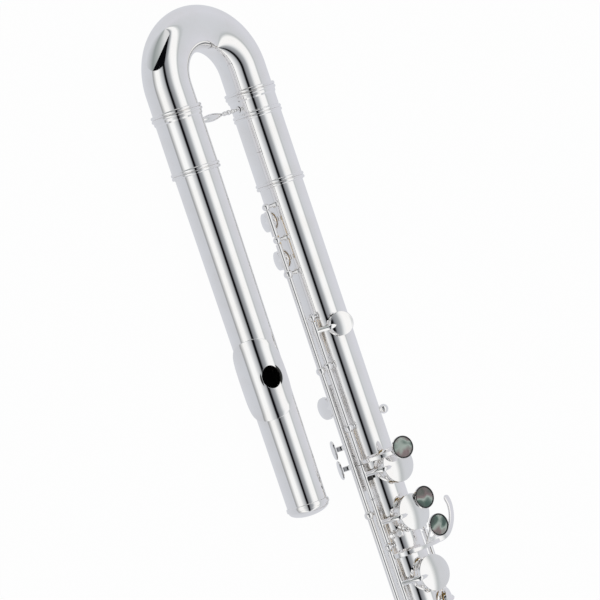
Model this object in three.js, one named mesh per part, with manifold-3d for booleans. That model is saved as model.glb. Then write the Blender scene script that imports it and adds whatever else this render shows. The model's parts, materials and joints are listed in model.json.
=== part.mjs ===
// Bass flute with a U-shaped crook, lying with its keys up: +X runs from the crook to the foot, +Z is up.
// Lengths are millimetres. Places along the flute are counted from the lower end of the body's barrel.
// Angles round a tube are degrees from the top, positive towards the player, who sits on the -Y side.
import * as THREE from "three";
import { mergeVertices } from "three/addons/utils/BufferGeometryUtils.js";
import Module from "manifold-3d";

const wasm = await Module();
wasm.setup();

// Fits that every piece shares
const clearance = 0.3; // gap between two pieces that touch, slide or turn
const overrun = 2; // how far a cutting tool passes the face it cuts
const sink = 0.4; // how deep soldered pieces of one casting go into each other

// Body, head and foot tubes
const tubeRadius = 15.75;
const tubeWall = 0.5;
const crownEndRadius = 14.4; // the head narrows towards its closed end
const sleeveWall = 0.6;
const beadHeight = 0.95;
const beadWidth = 2.4;
const beadCount = 2;

// Crook
const legSpacing = 74;
const crookRadius = 16.5;
const crookWall = 0.8;
const crookStraight = 20.4; // from the middle of the bend to the ends of the bent tube
const socketDepth = 6;
const ferruleLength = 16.2;
const tenonLength = 39;
const barrelLength = 54.7;
const tenonGap = 3.7; // from the crook's tenon to the body tube, both inside the barrel

// Head joint, on the other leg
const receiverLength = 40.4;
const headInReceiver = 37;
const headLength = 275.5;
const embouchureFromCrown = 90.5;
const embouchureAngle = 30;
const embouchureLong = 16;
const embouchureWide = 13;
const lipLength = 57;
const lipSpread = 39; // width seen along the middle of the plate
const lipAngle = 50;
const lipRadius = 18.6;
const lipOffset = 1.2;
const lipThickness = 1;
const riserWall = 1.3;
const crownLength = 9;
const crownRingRadius = 15.3;
const crownRingWidth = 3.4;
const crownPlug = 5;
const stopperFromEmbouchure = 28;
const stopperLength = 16;
const stopperScrewRadius = 2.2;

// Tone holes: each distance runs from the one named before it
const trillOneAt = 24;
const trillOneToTwo = 28;
const trillTwoToVent = 54.7;
const ventToThumb = 53.5;
const thumbToFlat = 51.8;
const flatToA = 35.3;
const aToUpperG = 44.7;
const upperToLowerG = 45;
const lowerGToFSharp = 47;
const fSharpToF = 49;
const fToE = 54;
const eToD = 58;
const dToTenonEnd = 43;
const dToDSharp = 64;
const dSharpToCSharp = 65;
const cSharpToLowC = 70;
const lowCToEnd = 71;
const gSharpShare = 0.5; // between the two G holes
const footSocketLength = 22;
const footEndBand = 5;
const endBandHeight = 1.2;

// Cups, their pads and the raised rims they close on
const chimneyWall = 0.8;
const rimStandLarge = 2.25;
const rimStandSmall = 1.55;
const padThickness = 2.4;
const padProud = 0.8; // how far a pad stands out of its cup
const cupWall = 0.8;
const cupDome = 1.1;
const mainCupRadius = 13;
const mainHoleRadius = 10.5;
const ventCupRadius = 8.6;
const ventHoleRadius = 6.4;
const trillCupRadius = 6.8;
const trillHoleRadius = 4.6;
const thumbCupRadius = 8;
const thumbHoleRadius = 5.8;
const sideCupRadius = 8.6;
const sideHoleRadius = 6.3;
const footCupRadius = 13;
const footHoleRadius = 10.5;

// Angles of the holes that are not on top
const ventAngle = 18;
const trillAngle = 114;
const thumbAngle = 113;
const sideAngle = -32;
const dSharpAngle = 88;
const footCupAngle = -48;

// Hinge lines, each by its angle and its distance from the middle of the tube
const mainLine = { angle: 68, reach: 23.5 };
const trillLine = { angle: 80, reach: 26 };
const thumbLine = { angle: 83, reach: 20.2 };
const sideLine = { angle: -78, reach: 22 };
const footLine = { angle: 20, reach: 23.5 };
const dSharpLine = { angle: 46, reach: 22.5 };
const hingeRadius = 2;
const steelRadius = 1;
const barrelRadius = 2.3; // hinge barrels that are pinned to their steel

// Posts and the ribs that carry them
const ribThickness = 0.8;
const ribHalfAngle = 4;
const postFootRadius = 1.9;
const postStemRadius = 1.3;
const postBallRadius = 2.7;
const steadyBallRadius = 3.3;
const studBallRadius = 3.4;
const studAngle = -62;
const studReach = 19;
const studPlaceShare = 0.26; // between the thumb hole and the next one on top

// Arms, levers and finger touches
const armWidth = 4.2;
const armThickness = 1.7;
const armTip = 1.2;
const leverWidth = 3.6;
const leverThickness = 1.8;
const touchRadius = 8;
const touchHeight = 2.4;
const pearlRadius = 7.2;
const pearlHeight = 1.7;
const pearlRecess = 1.1;
const rollerRadius = 2.2;
const rollerLength = 13;

// How far each kind of key stands open at rest, in degrees
const mainOpen = 9.2;
const thumbOpen = 14;
const footOpen = 9.2;

// Facets round each kind of round form
const tubeSides = 28;
const crookSides = 24;
const crookSteps = 15;
const chimneySides = 12;
const cupSides = 16;
const hingeSides = 6;
const postSides = 6;
const curveSteps = 6;
const ballSteps = 4;
const domeSteps = 4;

const bore = tubeRadius - tubeWall;
const sleeveInner = tubeRadius + clearance;
const sleeveRadius = sleeveInner + sleeveWall;
const postHole = steelRadius + clearance;
// Wide enough for the corners of a tube that turns inside it
const steadyHole = (hingeRadius + clearance / 2) / Math.cos(Math.PI / hingeSides);
const ribInner = tubeRadius + clearance;
const ribOuter = ribInner + ribThickness;

const turn = THREE.MathUtils.degToRad;
const between = (from, to, share) => from + (to - from) * share;
const halfShare = 0.5;

// Places along the flute
const at = {};
at.barrelTop = overrun - barrelLength;
at.tenonEnd = at.barrelTop + tenonLength;
at.bodyTop = at.tenonEnd + tenonGap;
at.ferruleTop = at.barrelTop - clearance - ferruleLength;
at.socketEnd = at.ferruleTop + socketDepth;
at.bendMiddle = at.socketEnd - crookStraight;
at.trillOne = trillOneAt;
at.trillTwo = at.trillOne + trillOneToTwo;
at.vent = at.trillTwo + trillTwoToVent;
at.thumb = at.vent + ventToThumb;
at.flat = at.thumb + thumbToFlat;
at.a = at.flat + flatToA;
at.upperG = at.a + aToUpperG;
at.lowerG = at.upperG + upperToLowerG;
at.gSharp = between(at.upperG, at.lowerG, gSharpShare);
at.fSharp = at.lowerG + lowerGToFSharp;
at.f = at.fSharp + fSharpToF;
at.e = at.f + fToE;
at.d = at.e + eToD;
at.tenonFoot = at.d + dToTenonEnd;
at.footTop = at.tenonFoot - footSocketLength;
at.dSharp = at.d + dToDSharp;
at.cSharp = at.dSharp + dSharpToCSharp;
at.lowC = at.cSharp + cSharpToLowC;
at.end = at.lowC + lowCToEnd;

// Solids and geometries

const weld = 1e-4;

function solidOf(geometry) {
  const bare = geometry.index ? geometry.toNonIndexed() : geometry.clone();
  bare.deleteAttribute("normal");
  bare.deleteAttribute("uv");
  const merged = mergeVertices(bare, weld);
  const corners = merged.index.array;
  const kept = [];
  for (let i = 0; i < corners.length; i += 3) {
    const [a, b, c] = corners.slice(i, i + 3);
    if (a !== b && b !== c && c !== a) kept.push(a, b, c);
  }
  const vertProperties = merged.attributes.position.array;
  return new wasm.Manifold(new wasm.Mesh({ numProp: 3, vertProperties, triVerts: new Uint32Array(kept) }));
}

function geometryOf(solid) {
  const mesh = solid.getMesh();
  const geometry = new THREE.BufferGeometry();
  geometry.setAttribute("position", new THREE.BufferAttribute(mesh.vertProperties, 3));
  geometry.setIndex(new THREE.BufferAttribute(mesh.triVerts, 1));
  return geometry;
}

function join(...parts) {
  const solids = parts.map(solidOf);
  return geometryOf(solids.reduce((whole, next) => whole.add(next)));
}

function cut(body, ...tools) {
  return geometryOf(tools.map(solidOf).reduce((left, tool) => left.subtract(tool), solidOf(body)));
}

const common = (one, other) => geometryOf(solidOf(one).intersect(solidOf(other)));

// A profile of [place, radius] pairs turned round the X axis
function turned(profile, sides) {
  const points = profile.map(([along, radius]) => new THREE.Vector2(radius, along));
  return new THREE.LatheGeometry(points, sides).rotateZ(-Math.PI / 2);
}

// The same, standing on the Z axis: [radius, height] pairs
function spun(profile, sides) {
  const points = profile.map(([radius, height]) => new THREE.Vector2(radius, height));
  return new THREE.LatheGeometry(points, sides).rotateX(Math.PI / 2);
}

function rod(from, to, radius, sides) {
  return turned([[from, 0], [from, radius], [to, radius], [to, 0]], sides);
}

function pipe(from, to, outer, inner, sides) {
  return turned([[from, inner], [from, outer], [to, outer], [to, inner], [from, inner]], sides);
}

// A round bar standing on the Z axis
function pin(low, high, radius, sides) {
  return spun([[0, low], [radius, low], [radius, high], [0, high]], sides);
}

function outline(points) {
  return new THREE.Shape(points.map(([x, y]) => new THREE.Vector2(x, y)));
}

function ellipse(long, wide) {
  const shape = new THREE.Shape();
  shape.absellipse(0, 0, long / 2, wide / 2, 0, 2 * Math.PI);
  return shape;
}

// A shape drawn in X and Y, standing between two heights
function standing(shape, low, high, curveSegments = curveSteps) {
  const settings = { depth: high - low, bevelEnabled: false, curveSegments };
  return new THREE.ExtrudeGeometry(shape, settings).translate(0, 0, low);
}

// A shape drawn in Y and Z, running along X between two places
const alongX = new THREE.Matrix4().makeBasis(
  new THREE.Vector3(0, 1, 0),
  new THREE.Vector3(0, 0, 1),
  new THREE.Vector3(1, 0, 0),
);

function lying(shape, from, to) {
  const settings = { depth: to - from, bevelEnabled: false, curveSegments: curveSteps };
  return new THREE.ExtrudeGeometry(shape, settings).applyMatrix4(alongX).translate(from, 0, 0);
}

// A strip of even or tapering thickness along a smooth curve through points of the YZ plane
function strip(points, startThickness, endThickness) {
  const curve = new THREE.SplineCurve(points.map(([y, z]) => new THREE.Vector2(y, z)));
  const left = [];
  const right = [];
  for (let i = 0; i <= curveSteps; i += 1) {
    const share = i / curveSteps;
    const middle = curve.getPoint(share);
    const ahead = curve.getTangent(share);
    const half = between(startThickness, endThickness, share) / 2;
    left.push([middle.x - ahead.y * half, middle.y + ahead.x * half]);
    right.unshift([middle.x + ahead.y * half, middle.y - ahead.x * half]);
  }
  return outline([...right, ...left]);
}

// A plan outline that narrows or widens along Y: [y, half width] pairs about a middle line at x
function tapered(x, pairs) {
  const right = pairs.map(([y, half]) => [x + half, y]);
  const left = pairs.map(([y, half]) => [x - half, y]).reverse();
  return outline([...right, ...left]);
}

// A point of the YZ plane from its angle round the tube and its reach
const polar = (angle, reach) => [-reach * Math.sin(turn(angle)), reach * Math.cos(turn(angle))];

// Materials

const finish = (color, roughness, metalness) =>
  new THREE.MeshStandardMaterial({ color, roughness, metalness });
const silver = finish("#e9e9ee", 0.08, 1);
const steel = finish("#b9bcc2", 0.2, 1);
const felt = finish("#c08a1e", 0.7, 0);
const shell = finish("#6f7f74", 0.2, 0);
const cork = finish("#b58a5a", 0.9, 0);

const flute = new THREE.Group();

function add(parent, name, geometry, material) {
  const mesh = new THREE.Mesh(geometry, material);
  mesh.name = name;
  parent.add(mesh);
  return mesh;
}

// Rings: a band with a row of round beads, drawn as part of a sleeve's outer profile
function beads(from, radius) {
  const points = [];
  for (let i = 0; i < beadCount; i += 1) {
    const start = from + i * beadWidth;
    points.push([start, radius]);
    points.push([start + beadWidth / 2, radius + beadHeight]);
  }
  points.push([from + beadCount * beadWidth, radius]);
  return points;
}

const beadRow = beadCount * beadWidth;

// Tone hole rims

function chimney(hole) {
  const rim = hole.rim;
  const wall = pin(bore / 2, rim, hole.radius + chimneyWall, chimneySides);
  return wall.translate(hole.x, 0, 0).rotateX(turn(hole.angle));
}

function holeThrough(hole) {
  const drill = pin(0, hole.rim + overrun, hole.radius, chimneySides);
  return drill.translate(hole.x, 0, 0).rotateX(turn(hole.angle));
}

const hole = (x, angle, radius, stand, cup) => ({ x, angle, radius, rim: tubeRadius + stand, cup });
const mainHole = (x) => hole(x, 0, mainHoleRadius, rimStandLarge, mainCupRadius);
const trillHole = (x) => hole(x, trillAngle, trillHoleRadius, rimStandSmall, trillCupRadius);
const holes = {
  trillOne: trillHole(at.trillOne),
  trillTwo: trillHole(at.trillTwo),
  vent: hole(at.vent, ventAngle, ventHoleRadius, rimStandSmall, ventCupRadius),
  thumb: hole(at.thumb, thumbAngle, thumbHoleRadius, rimStandSmall, thumbCupRadius),
  flat: mainHole(at.flat),
  a: mainHole(at.a),
  upperG: mainHole(at.upperG),
  lowerG: mainHole(at.lowerG),
  gSharp: hole(at.gSharp, sideAngle, sideHoleRadius, rimStandSmall, sideCupRadius),
  fSharp: mainHole(at.fSharp),
  f: mainHole(at.f),
  e: mainHole(at.e),
  d: mainHole(at.d),
};
const footHoles = {
  dSharp: hole(at.dSharp, dSharpAngle, footHoleRadius, rimStandLarge, footCupRadius),
  cSharp: hole(at.cSharp, footCupAngle, footHoleRadius, rimStandLarge, footCupRadius),
  lowC: hole(at.lowC, footCupAngle, footHoleRadius, rimStandLarge, footCupRadius),
};

// Posts: a foot, a stem and a ball that is drilled for the steel

function post(x, line, ballRadius, drill, foot = tubeRadius - tubeWall / 2) {
  const standHeight = line.reach;
  const footTop = foot + 3 * sink;
  const profile = [
    [0, foot],
    [postFootRadius, foot],
    [postFootRadius, footTop],
    [postStemRadius, footTop + sink],
  ];
  const start = Math.asin(postStemRadius / ballRadius);
  for (let i = 0; i <= ballSteps; i += 1) {
    const angle = between(Math.PI - start, 0, i / ballSteps);
    profile.push([ballRadius * Math.sin(angle), standHeight + ballRadius * Math.cos(angle)]);
  }
  profile[profile.length - 1][0] = 0;
  const body = spun(profile, postSides).translate(x, 0, 0);
  const reach = ballRadius + overrun;
  const drillHole = rod(x - reach, x + reach, drill, hingeSides).translate(0, 0, standHeight);
  return cut(body, drillHole).rotateX(turn(line.angle));
}

const endPost = (x, line, foot) => post(x, line, postBallRadius, postHole, foot);
const steady = (x, line, foot) => post(x, line, steadyBallRadius, steadyHole, foot);

// A solid round bar or a tube on a hinge line

const onLine = (geometry, line) => {
  const [y, z] = polar(line.angle, line.reach);
  return geometry.translate(0, y, z);
};
const hingeTube = (from, to, line) => onLine(pipe(from, to, hingeRadius, postHole, hingeSides), line);
const steelBar = (from, to, line) => onLine(rod(from, to, steelRadius, hingeSides), line);
const barrel = (from, to, line) => onLine(rod(from, to, barrelRadius, hingeSides), line);

// Cups and pads, drawn over their hole with the key closed

const padLow = (spot) => spot.rim + clearance;
const cupTop = (spot) => padLow(spot) + padThickness + clearance + cupWall;

function cup(spot) {
  const low = padLow(spot) + padProud;
  const roof = padLow(spot) + padThickness + clearance;
  const inner = spot.cup - cupWall;
  const profile = [
    [0, roof],
    [inner, roof],
    [inner, low],
    [spot.cup, low],
    [spot.cup, roof + cupWall / 2],
    [(3 * spot.cup) / 4, roof + cupWall + cupDome / 2],
    [0, roof + cupWall + cupDome],
  ];
  return spun(profile, cupSides).translate(spot.x, 0, 0).rotateX(turn(spot.angle));
}

function pad(spot) {
  const radius = spot.cup - cupWall - clearance;
  const low = padLow(spot);
  const edge = padProud / 2;
  const profile = [[0, low], [radius - edge, low], [radius, low + padThickness], [0, low + padThickness]];
  return spun(profile, cupSides).translate(spot.x, 0, 0).rotateX(turn(spot.angle));
}

// The arm from a hinge to the middle of a cup: a bar that rises beside the cup and ends in a point on it
function arm(spot, line, x) {
  const across = turn(line.angle - spot.angle);
  const hingeY = -line.reach * Math.sin(across);
  const hingeZ = line.reach * Math.cos(across);
  const side = Math.sign(hingeY);
  const top = cupTop(spot) + sink;
  const start = [hingeY, hingeZ + hingeRadius - armThickness / 2];
  const edge = [side * (spot.cup + armThickness / 2), Math.max(top - sink, hingeZ)];
  const end = [0, top + cupDome - sink];
  const over = [side * (spot.cup / 2), top + cupDome / 2];
  const band = strip([start, edge, over, end], armThickness, armThickness);
  const plan = tapered(0, [
    [0, armTip / 2],
    [edge[0], armWidth / 2],
    [hingeY + side * hingeRadius, armWidth / 2],
  ]);
  const bar = common(lying(band, -armWidth, armWidth), standing(plan, 0, 2 * line.reach));
  const skew = (x - spot.x) / hingeY;
  const lean = new THREE.Matrix4().set(1, skew, 0, 0, 0, 1, 0, 0, 0, 0, 1, 0, 0, 0, 0, 1);
  return bar.applyMatrix4(lean).translate(spot.x, 0, 0).rotateX(turn(spot.angle));
}

const cupWithArm = (spot, line, x = spot.x) => join(cup(spot), arm(spot, line, x));

// A bent lever: a strip through polar points, each an angle and a share of the tube's radius, cut to a plan
function lever(pathShares, plans, thickness = leverThickness) {
  const points = pathShares.map(([angle, share]) => polar(angle, share * tubeRadius));
  const reach = 4 * tubeRadius;
  const prisms = plans.map((plan) => standing(plan, -reach, reach));
  const places = plans.flatMap((plan) => plan.getPoints().map((point) => point.x));
  const low = Math.min(...places) - overrun;
  const high = Math.max(...places) + overrun;
  return common(lying(strip(points, thickness, thickness), low, high), join(...prisms));
}

// A round holder for a shell touch, and the shell disc that lies in it, tilted about the flute's axis
function onTilt(geometry, touch) {
  return geometry.rotateX(turn(touch.tilt)).translate(touch.x, touch.y, touch.z);
}

function touchHolder(touch) {
  const inner = pearlRadius + clearance;
  const profile = [
    [0, 0],
    [touchRadius - cupWall, 0],
    [touchRadius, cupWall],
    [touchRadius, touchHeight],
    [inner, touchHeight],
    [inner, touchHeight - pearlRecess],
    [0, touchHeight - pearlRecess],
  ];
  return onTilt(spun(profile, cupSides), touch);
}

function pearl(touch) {
  const low = touchHeight - pearlRecess + clearance;
  const shoulder = low + pearlHeight / 2;
  const top = low + pearlHeight;
  const profile = [[0, low], [pearlRadius, low], [pearlRadius, shoulder], [pearlRadius / 2, top], [0, top]];
  return onTilt(spun(profile, cupSides), touch);
}

// One casting on a hinge line: its tube and everything soldered to it, drilled for the steel
function casting(line, from, to, ...parts) {
  const whole = join(onLine(rod(from, to, hingeRadius, hingeSides), line), ...parts);
  const drill = onLine(rod(from - overrun, to + overrun, postHole, hingeSides), line);
  return cut(whole, drill);
}

// A key: a group that turns about its hinge line and stands open at rest by the given angle
function key(parent, line, open) {
  const group = new THREE.Group();
  const [y, z] = polar(line.angle, line.reach);
  group.position.set(0, y, z);
  group.rotation.x = turn(open);
  parent.add(group);
  return (name, geometry, material) => add(group, name, geometry.translate(0, -y, -z), material);
}

// Crook: the bent tube, its two sleeves and the brace between them

class CrookPath extends THREE.Curve {
  getPoint(share, target = new THREE.Vector3()) {
    const half = legSpacing / 2;
    const arc = Math.PI * half;
    const straight = crookStraight - clearance;
    const walked = share * (arc + 2 * straight) - straight;
    if (walked < 0) return target.set(at.bendMiddle - walked, 0, 0);
    if (walked > arc) return target.set(at.bendMiddle + walked - arc, -legSpacing, 0);
    const angle = walked / half;
    return target.set(at.bendMiddle - half * Math.sin(angle), -half + half * Math.cos(angle), 0);
  }
}

function crookTube() {
  const section = new THREE.Shape();
  section.absarc(0, 0, crookRadius, 0, 2 * Math.PI);
  const hollow = new THREE.Path();
  hollow.absarc(0, 0, crookRadius - crookWall, 0, 2 * Math.PI, true);
  section.holes.push(hollow);
  const settings = {
    steps: crookSteps,
    extrudePath: new CrookPath(),
    curveSegments: crookSides / 2,
    bevelEnabled: false,
  };
  return new THREE.ExtrudeGeometry(section, settings);
}

const socketInner = crookRadius + clearance;
const socketOuter = socketInner + sleeveWall;
const slopeEnd = at.socketEnd + 3 * sleeveWall;
const taperStart = at.socketEnd + receiverLength;
const headStart = taperStart - headInReceiver;
const headY = -legSpacing;

function crookFerrule() {
  const profile = [
    [at.ferruleTop, socketInner],
    ...beads(at.ferruleTop, socketOuter),
    [at.socketEnd + sleeveWall, socketOuter],
    [slopeEnd, sleeveRadius],
    [at.barrelTop - clearance, sleeveRadius],
    [at.barrelTop - clearance, tubeRadius],
    [at.tenonEnd, tubeRadius],
    [at.tenonEnd, bore],
    [at.socketEnd, bore],
    [at.socketEnd, socketInner],
    [at.ferruleTop, socketInner],
  ];
  return turned(profile, tubeSides);
}

function crookReceiver() {
  const end = at.socketEnd + receiverLength;
  const profile = [
    [at.ferruleTop, socketInner],
    ...beads(at.ferruleTop, socketOuter),
    [at.socketEnd + sleeveWall, socketOuter],
    [slopeEnd, sleeveRadius],
    ...beads(end - beadRow, sleeveRadius),
    [end, sleeveInner],
    [headStart - clearance, sleeveInner],
    [headStart - clearance, bore],
    [at.socketEnd, bore],
    [at.socketEnd, socketInner],
    [at.ferruleTop, socketInner],
  ];
  return turned(profile, tubeSides).translate(0, headY, 0);
}

// The brace: a turned stem with a leaf-shaped swelling and a row of beads, in shares of its length
const braceShares = [
  [0, 0], [0, 0.07], [0.02, 0.07], [0.05, 0.02], [0.14, 0.02], [0.2, 0.045], [0.32, 0.075], [0.46, 0.045],
  [0.52, 0.02], [0.55, 0.05], [0.6, 0.05], [0.63, 0.025], [0.68, 0.06], [0.74, 0.06], [0.79, 0.025],
  [0.83, 0.045], [0.88, 0.045], [0.91, 0.03], [0.96, 0.03], [0.98, 0.07], [1, 0.07], [1, 0],
];

function crookBrace() {
  const from = headY + sleeveRadius + clearance;
  const to = -sleeveRadius - clearance;
  const profile = braceShares.map(([along, radius]) => [between(from, to, along), radius * (to - from)]);
  const middle = between(slopeEnd, at.barrelTop, halfShare);
  return turned(profile, postSides).rotateZ(Math.PI / 2).translate(middle, 0, 0);
}

const crook = new THREE.Group();
flute.add(crook);
add(crook, "crook_tube", crookTube(), silver);
add(crook, "crook_ferrule", crookFerrule(), silver);
add(crook, "crook_receiver", crookReceiver(), silver);
add(crook, "crook_brace", crookBrace(), silver);

// Head joint

const headEnd = headStart + headLength;
const embouchureAt = headEnd - embouchureFromCrown;
const stopperAt = embouchureAt + stopperFromEmbouchure;
const taperShare = (x) => Math.max(0, (x - taperStart) / (headEnd - taperStart));
const headOuter = (x) => between(tubeRadius, crownEndRadius, taperShare(x));
const crownRadius = headOuter(headEnd);
const screwEnd = headEnd + crownLength / 3;

function embouchurePrism(grow, low, high) {
  const shape = ellipse(embouchureLong + 2 * grow, embouchureWide + 2 * grow);
  return standing(shape, low, high).translate(embouchureAt, 0, 0).rotateX(turn(embouchureAngle));
}

function headTube() {
  const outside = [[headStart, tubeRadius], [taperStart, tubeRadius], [headEnd, crownEndRadius]];
  const inside = [...outside].reverse().map(([x, radius]) => [x, radius - tubeWall]);
  const tube = turned([...outside, ...inside, outside[0]], tubeSides);
  return cut(tube, embouchurePrism(riserWall + clearance, 0, 2 * tubeRadius)).translate(0, headY, 0);
}

function lipPlate() {
  const from = embouchureAt - lipLength;
  const to = embouchureAt + lipLength;
  const outer = rod(from, to, lipRadius, tubeSides);
  const inner = rod(from - overrun, to + overrun, lipRadius - lipThickness, tubeSides);
  const blank = cut(outer, inner).translate(0, 0, lipOffset).rotateX(turn(lipAngle));
  const frame = standing(ellipse(lipLength, lipSpread), 0, 2 * lipRadius);
  const plate = common(blank, frame.translate(embouchureAt, 0, 0).rotateX(turn(lipAngle)));
  const riserLow = headOuter(embouchureAt) - tubeWall;
  const riser = embouchurePrism(riserWall, riserLow, lipRadius + lipOffset - lipThickness / 2);
  return cut(join(plate, riser), embouchurePrism(0, 0, 2 * tubeRadius)).translate(0, headY, 0);
}

function crown() {
  const plug = crownRadius - tubeWall - clearance;
  const start = headEnd + clearance;
  const shoulder = start + crownRingWidth;
  const screwHole = stopperScrewRadius + clearance;
  const profile = [
    [start - crownPlug, screwHole],
    [start - crownPlug, plug],
    [start, plug],
    [start, crownRingRadius],
    [shoulder, crownRingRadius],
    [shoulder, crownRadius],
  ];
  for (let i = 1; i < domeSteps; i += 1) {
    const angle = (i / domeSteps) * (Math.PI / 2);
    const along = shoulder + (crownLength - crownRingWidth) * Math.sin(angle);
    profile.push([along, crownRadius * Math.cos(angle)]);
  }
  profile.push([start + crownLength, 0], [screwEnd + clearance, 0], [screwEnd + clearance, screwHole], profile[0]);
  return turned(profile, tubeSides).translate(0, headY, 0);
}

function stopper() {
  const radius = headOuter(stopperAt + stopperLength) - tubeWall - clearance;
  const profile = [
    [stopperAt, 0],
    [stopperAt, radius],
    [stopperAt + stopperLength, radius],
    [stopperAt + stopperLength, stopperScrewRadius],
    [screwEnd, stopperScrewRadius],
    [screwEnd, 0],
  ];
  return turned(profile, cupSides).translate(0, headY, 0);
}

const head = new THREE.Group();
flute.add(head);
add(head, "head_tube", headTube(), silver);
add(head, "lip_plate", lipPlate(), silver);
add(head, "crown", crown(), silver);
add(head, "stopper", stopper(), cork);

// Places of the posts along each hinge line

const postShares = {
  besideVent: 0.75,
  ventSteady: 0.48,
  thumbSteady: 0.34,
  upperMiddle: 0.4,
  upperLast: 0.38,
  lowerFirst: 0.52,
  lowerMiddle: 0.35,
  lowerLast: 0.33,
  besideSmallCup: 1.5,
  trillSecond: 0.5,
  trillSteadies: [0.2, 0.51, 0.79, 0.17],
  trillThird: 0.7,
  trillLast: 0.72,
  thumbLast: 0.69,
  sideFirst: 0.31,
  sideLast: 0.78,
  footFirst: 0.87,
  besideFootCup: 0.85,
  besideDSharp: 1.25,
};
const mainPosts = {
  first: at.vent - mainCupRadius * postShares.besideVent,
  steadies: [between(at.vent, at.thumb, postShares.ventSteady), between(at.thumb, at.flat, postShares.thumbSteady)],
  middle: between(at.a, at.upperG, postShares.upperMiddle),
  last: between(at.lowerG, at.fSharp, postShares.upperLast),
};
const lowerPosts = {
  first: between(at.lowerG, at.fSharp, postShares.lowerFirst),
  middle: between(at.f, at.e, postShares.lowerMiddle),
  last: between(at.d, at.tenonFoot, postShares.lowerLast),
};
const steadySpans = [
  [at.trillTwo, at.vent],
  [at.vent, at.thumb],
  [at.flat, at.a],
  [at.lowerG, at.fSharp],
];
const trillPosts = {
  first: at.trillOne - trillCupRadius * postShares.besideSmallCup,
  second: between(at.trillOne, at.trillTwo, postShares.trillSecond),
  steadies: steadySpans.map(([from, to], i) => between(from, to, postShares.trillSteadies[i])),
  third: between(at.fSharp, at.f, postShares.trillThird),
  last: between(at.f, at.e, postShares.trillLast),
};
const thumbPosts = {
  first: at.thumb - thumbCupRadius * postShares.besideSmallCup,
  last: between(at.thumb, at.a, postShares.thumbLast),
};
const sidePosts = {
  first: between(at.a, at.upperG, postShares.sideFirst),
  last: between(at.upperG, at.lowerG, postShares.sideLast),
};
const footPosts = {
  first: between(at.footTop, at.dSharp, postShares.footFirst),
  middle: at.cSharp + footCupRadius * postShares.besideFootCup,
  last: at.lowC + footCupRadius * postShares.besideFootCup,
};
const dSharpPosts = {
  first: at.tenonFoot + 2 * postBallRadius,
  last: at.dSharp + footCupRadius * postShares.besideDSharp,
};
const pastPost = postBallRadius + clearance;
const halfGap = clearance / 2;

// Body joint: the tube with its raised rims, and the posts that stand on it without a rib

function bodyTube() {
  const outside = rod(at.bodyTop, at.tenonFoot, tubeRadius, tubeSides);
  const inside = rod(at.bodyTop - overrun, at.tenonFoot + overrun, bore, tubeSides);
  const stud = pin(bore + tubeWall / 2, studReach, postFootRadius, postSides);
  const ball = new THREE.SphereGeometry(studBallRadius, hingeSides, postSides).translate(0, 0, studReach);
  const studPlace = between(at.thumb, at.flat, studPlaceShare);
  const handStud = join(stud, ball).translate(studPlace, 0, 0).rotateX(turn(studAngle));
  const trillEnds = [trillPosts.first, trillPosts.second, trillPosts.third, trillPosts.last];
  const posts = [
    ...trillEnds.map((x) => endPost(x, trillLine)),
    ...trillPosts.steadies.map((x) => steady(x, trillLine)),
    ...Object.values(thumbPosts).map((x) => endPost(x, thumbLine)),
    ...Object.values(sidePosts).map((x) => endPost(x, sideLine)),
  ];
  const rims = Object.values(holes);
  return cut(join(outside, handStud, ...rims.map(chimney), ...posts), inside, ...rims.map(holeThrough));
}

function bodyBarrel() {
  const top = at.barrelTop;
  const end = top + barrelLength;
  const outside = [...beads(top, sleeveRadius), ...beads(end - beadRow, sleeveRadius)];
  return turned([[top, sleeveInner], ...outside, [end, sleeveInner], [top, sleeveInner]], tubeSides);
}

// A rib: a curved strip soldered along the tube, with its posts
function rib(from, to, line, posts, steadies = []) {
  const shape = new THREE.Shape();
  const start = turn(90 + line.angle - ribHalfAngle);
  const end = turn(90 + line.angle + ribHalfAngle);
  shape.absarc(0, 0, ribOuter, start, end, false);
  shape.absarc(0, 0, ribInner, end, start, true);
  const foot = ribInner + ribThickness / 2;
  const balls = [...posts.map((x) => endPost(x, line, foot)), ...steadies.map((x) => steady(x, line, foot))];
  return join(lying(shape, from, to), ...balls);
}

const ribReachShare = 1.3;
const ribReach = ribReachShare * postBallRadius;
const ribSplit = between(mainPosts.last, lowerPosts.first, halfShare);
const upperEnds = [mainPosts.first, mainPosts.middle, mainPosts.last];
const lowerEnds = [lowerPosts.first, lowerPosts.middle, lowerPosts.last];
const upperRib = rib(mainPosts.first - ribReach, ribSplit - halfGap, mainLine, upperEnds, mainPosts.steadies);
const lowerRib = rib(ribSplit + halfGap, lowerPosts.last + ribReach, mainLine, lowerEnds);
const throughPosts = (from, to, line) => steelBar(from - postBallRadius, to + postBallRadius, line);
add(flute, "body_tube", bodyTube(), silver);
add(flute, "body_barrel", bodyBarrel(), silver);
add(flute, "upper_rib", upperRib, silver);
add(flute, "lower_rib", lowerRib, silver);
add(flute, "upper_steel", throughPosts(mainPosts.first, mainPosts.last, mainLine), steel);
add(flute, "lower_steel", throughPosts(lowerPosts.first, lowerPosts.last, mainLine), steel);
add(flute, "thumb_steel", throughPosts(thumbPosts.first, thumbPosts.last, thumbLine), steel);
add(flute, "g_sharp_steel", throughPosts(sidePosts.first, sidePosts.last, sideLine), steel);

// Trill keys: the first one's steel runs inside the second one's tube

const touchAt = { trillTwo: between(at.fSharp, at.f, halfShare), trillOne: between(at.f, at.e, halfShare) };
const trillPathShares = [[80, 1.66], [74, 1.8], [64, 1.85], [50, 1.86], [30, 1.84], [16, 1.82], [5, 1.8]];
const trillTouchShares = [[-2.2, 0.115], [-1.3, 0.115], [-0.9, 0.24], [-0.35, 0.24], [-0.15, 0.15]];

function trillLever(x) {
  const plan = tapered(x, trillTouchShares.map(([y, half]) => [y * tubeRadius, half * tubeRadius]));
  return lever(trillPathShares, [plan]);
}

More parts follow.
